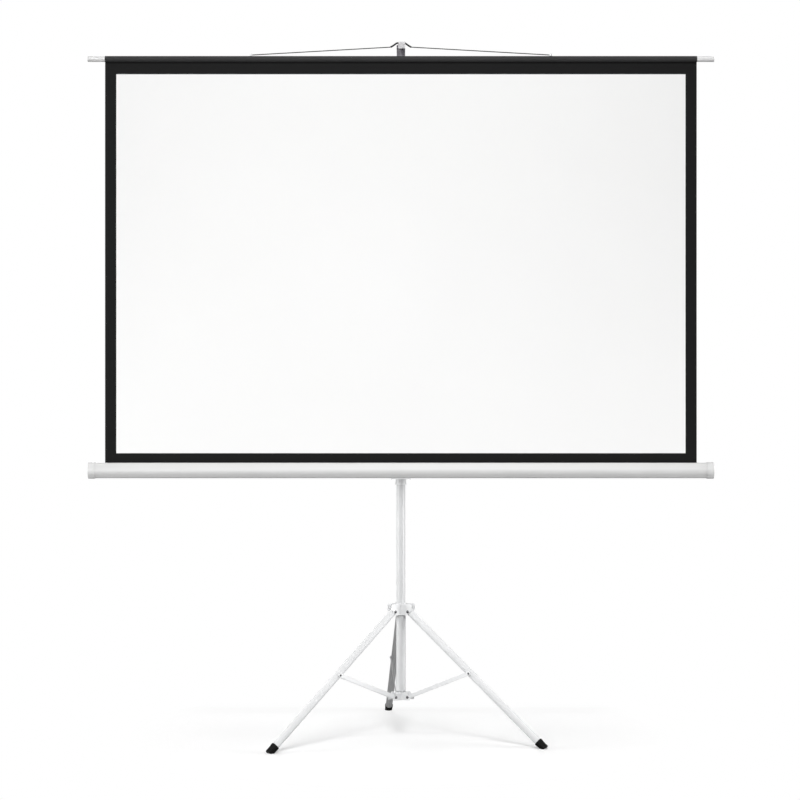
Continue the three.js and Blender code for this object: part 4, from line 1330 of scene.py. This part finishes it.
bar_low, bar_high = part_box("top_bar")
bar_radius = (bar_high.z - bar_low.z) / 2
bar_y, bar_z = (bar_low.y + bar_high.y) / 2, (bar_low.z + bar_high.z) / 2
on_bar = Matrix.Translation((0, bar_y, bar_z)) @ Matrix.Rotation(math.pi / 2, 4, "Y")
bar_shape = ease(tube(bar_radius, bar_radius - BAR_WALL, bar_low.x, bar_high.x), RIM_EASE)
piece("painted_bar", moved(bar_shape, on_bar), bar_paint, "bar", "grey_paint", "top_bar")

plug_radius = bar_radius - BAR_WALL - CLEARANCE
plug_start = bar_high.x - BAR_PLUG
plug_shoulder = bar_high.x + CLEARANCE
bar_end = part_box("bar_cap_right")[1].x
for side, turn in (("left", math.pi), ("right", 0)):
    plug = turned([(0, plug_start), (plug_radius, plug_start), (plug_radius, plug_shoulder),
                   (bar_radius, plug_shoulder), (bar_radius, bar_end), (0, bar_end)])
    plug = moved(ease(plug, PLUG_EASE, 3), Matrix.Rotation(turn, 4, "X"))
    piece(f"bar_plug_{side}", moved(plug, on_bar), bar_paint, "bar", "grey_paint", f"bar_cap_{side}")

# %% Hem
HEM_CLOTH = 0.0006
HEM_STEPS = 48
HEM_EASE = 0.0002
STITCH_PITCH = 0.006
STITCH_LENGTH = 0.0042
STITCH_RADIUS = 0.00035
STITCH_PROUD = 0.4
STITCH_ANGLE = math.radians(38)

hem_low, hem_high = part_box("cloth_hem")
hem_radius = (hem_high.z - hem_low.z) / 2
hem_shape = ease(tube(hem_radius, hem_radius - HEM_CLOTH, hem_low.x, hem_high.x, HEM_STEPS), HEM_EASE)
hem = piece("hem_sleeve", moved(hem_shape, on_bar), hem_cloth, "bar", "black_fabric", "cloth_hem")

stitches = bmesh.new()
stitch_reach = hem_radius + STITCH_RADIUS * STITCH_PROUD
stitch_y = bar_y + stitch_reach * math.sin(STITCH_ANGLE)
stitch_z = bar_z - stitch_reach * math.cos(STITCH_ANGLE)
stitch_size = Matrix.Diagonal((STITCH_LENGTH / 2, STITCH_RADIUS, STITCH_RADIUS, 1))
for index in range(int((hem_high.x - hem_low.x) / STITCH_PITCH)):
    x = hem_low.x + (index + 0.5) * STITCH_PITCH
    place = Matrix.Translation((x, stitch_y, stitch_z)) @ stitch_size
    bmesh.ops.create_icosphere(stitches, subdivisions=1, radius=1, matrix=place)
hem_stitches = piece("hem_stitches", stitches, hem_cloth, "bar", "black_fabric")

# %% [markdown]
# ## Hanger
# A thin steel wire runs from two eyes on the bar up to the hook, and a black sleeve protects it where it
# bends over the arm. A wire that follows a path is best drawn as a curve with a round bevel. The path goes
# through the same few points as the measured wire, and the curve is turned into a mesh so that its place is
# in the mesh.

# %% Eyes
EYE_RADIUS = 0.003
EYE_EDGE = 0.001
FLANGE_HEIGHT = 0.0006
DOME_START = 0.0012
DOME_SHOULDER = 0.0004
DOME_SHARE = 0.7

for side in ("left", "right"):
    eye_low, eye_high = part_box(f"hanger_eye_{side}")
    middle = (eye_low + eye_high) / 2
    flange = EYE_RADIUS + EYE_EDGE
    eye_profile = [(0, eye_low.z), (flange, eye_low.z), (flange, eye_low.z + FLANGE_HEIGHT),
                   (EYE_RADIUS, eye_low.z + EYE_EDGE), (EYE_RADIUS, eye_high.z - DOME_START),
                   (EYE_RADIUS * DOME_SHARE, eye_high.z - DOME_SHOULDER), (0, eye_high.z)]
    eye_shape = shifted(turned(eye_profile, SMALL_ROUND), middle.x, middle.y)
    piece(f"eye_stud_{side}", eye_shape, steel_upright, "bar", "bright_steel", f"hanger_eye_{side}")

# %% Wire and sleeve
WIRE_RADIUS = 0.0014
WIRE_SIDES = 3
SLEEVE_RADIUS = 0.0027
SLEEVE_SIDES = 6
HANGER_RISE = 0.0528
HANGER_SHOULDER = 0.030
SHOULDER_DROP = 0.0125
CROWN_DROP = 0.0005
CROWN_SHARE = 0.25
SLEEVE_SHARE = 0.004
WIRE_SHARES = (0.04, 0.3)
EYE_HOLE = 0.003
PATH_STEPS = 8
PATH_MERGE = 1e-7

sleeve_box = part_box("hanger_sleeve")
hanger_y = (sleeve_box[0].y + sleeve_box[1].y) / 2
hanger_top = bar_z + HANGER_RISE
wire_end = Vector((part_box("hanger_wire")[1].x, bar_y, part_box("hanger_eye_right")[0].z + EYE_HOLE))
bend = Vector((HANGER_SHOULDER, hanger_y, hanger_top - SHOULDER_DROP))
crown = Vector((hook_radius, hanger_y, hanger_top))
half_sleeve = [Vector((ARM_HALF, hanger_y, hanger_top)), crown - Vector((0, 0, CROWN_DROP)),
               bend.lerp(crown, CROWN_SHARE), bend.lerp(wire_end, SLEEVE_SHARE)]
half_wire = half_sleeve + [bend.lerp(wire_end, share) for share in WIRE_SHARES] + [wire_end]


def round_path(name, half, radius, sides):
    points = [Vector((-point.x, point.y, point.z)) for point in reversed(half)] + half
    line = bpy.data.curves.new(name, "CURVE")
    line.dimensions = "3D"
    line.bevel_depth = radius
    line.bevel_resolution = sides
    line.use_fill_caps = True
    line.resolution_u = PATH_STEPS
    spline = line.splines.new("BEZIER")
    spline.bezier_points.add(len(points) - 1)
    for knot, point in zip(spline.bezier_points, points):
        knot.co = point
        knot.handle_left_type = knot.handle_right_type = "VECTOR"
    drawn_line = bpy.data.objects.new(name, line)
    scene.collection.objects.link(drawn_line)
    shown_line = drawn_line.evaluated_get(bpy.context.evaluated_depsgraph_get())
    drawn_mesh = bpy.data.meshes.new_from_object(shown_line)
    shape = bmesh.new()
    shape.from_mesh(drawn_mesh)
    bpy.data.meshes.remove(drawn_mesh)
    bpy.data.curves.remove(line)
    bmesh.ops.remove_doubles(shape, verts=shape.verts, dist=PATH_MERGE)
    face_outwards(shape)
    return shape


wire = round_path("line", half_wire, WIRE_RADIUS, WIRE_SIDES)
piece("hanger_line", wire, wire_coating, "bar", "bright_steel", "hanger_wire")
guard = round_path("guard", half_sleeve, SLEEVE_RADIUS, SLEEVE_SIDES)
piece("hook_guard", guard, black_plastic, "bar", "black_plastic", "hanger_sleeve")

# %% [markdown]
# ## Screen cloth
# The cloth is a flat grid, drawn tight by the spring, with only the faintest waves that a rolled sheet
# keeps. Its UV map holds metres, so that the printed borders and the grain have their real size.

# %% Cloth sheet
CLOTH_COLUMNS = 90
CLOTH_ROWS = 64
CLOTH_THICKNESS = 0.0005
RIPPLE = 0.0007
RIPPLES = (
    # share of the ripple, waves across, waves up, start
    (1.0, 5.1, 1.7, 0.0),
    (0.5, 11.3, -2.9, 0.8),
)

cloth_middle = (cloth_low + cloth_high) / 2
cloth_middle.z = (cloth_low.z + cloth_top) / 2
sheet = bmesh.new()
metres = sheet.loops.layers.uv.new("metres")
bmesh.ops.create_grid(sheet, x_segments=CLOTH_COLUMNS, y_segments=CLOTH_ROWS, size=0.5)
bmesh.ops.scale(sheet, vec=(cloth_width, cloth_height, 1), verts=sheet.verts)
for face in sheet.faces:
    for loop in face.loops:
        loop[metres].uv = (loop.vert.co.x + cloth_width / 2, loop.vert.co.y + cloth_height / 2)
for vert in sheet.verts:
    across, up = vert.co.x, vert.co.y
    held = 1 - (2 * up / cloth_height) ** 4
    waves = (share * math.sin(along * across + rise * up + start) for share, along, rise, start in RIPPLES)
    vert.co.z = RIPPLE * held * sum(waves)
moved(sheet, Matrix.Translation(cloth_middle) @ Matrix.Rotation(math.pi / 2, 4, "X"))
thicken(sheet, CLOTH_THICKNESS)
cloth = piece("image_cloth", sheet, screen_white, "case", "screen_fabric", "screen_cloth")
second_finish(cloth, backing_cloth, lambda polygon: polygon.normal.y > 0.5)
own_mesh(cloth)

print("cloth", round(cloth_width, 3), "x", round(cloth_height, 3), "m in sight")
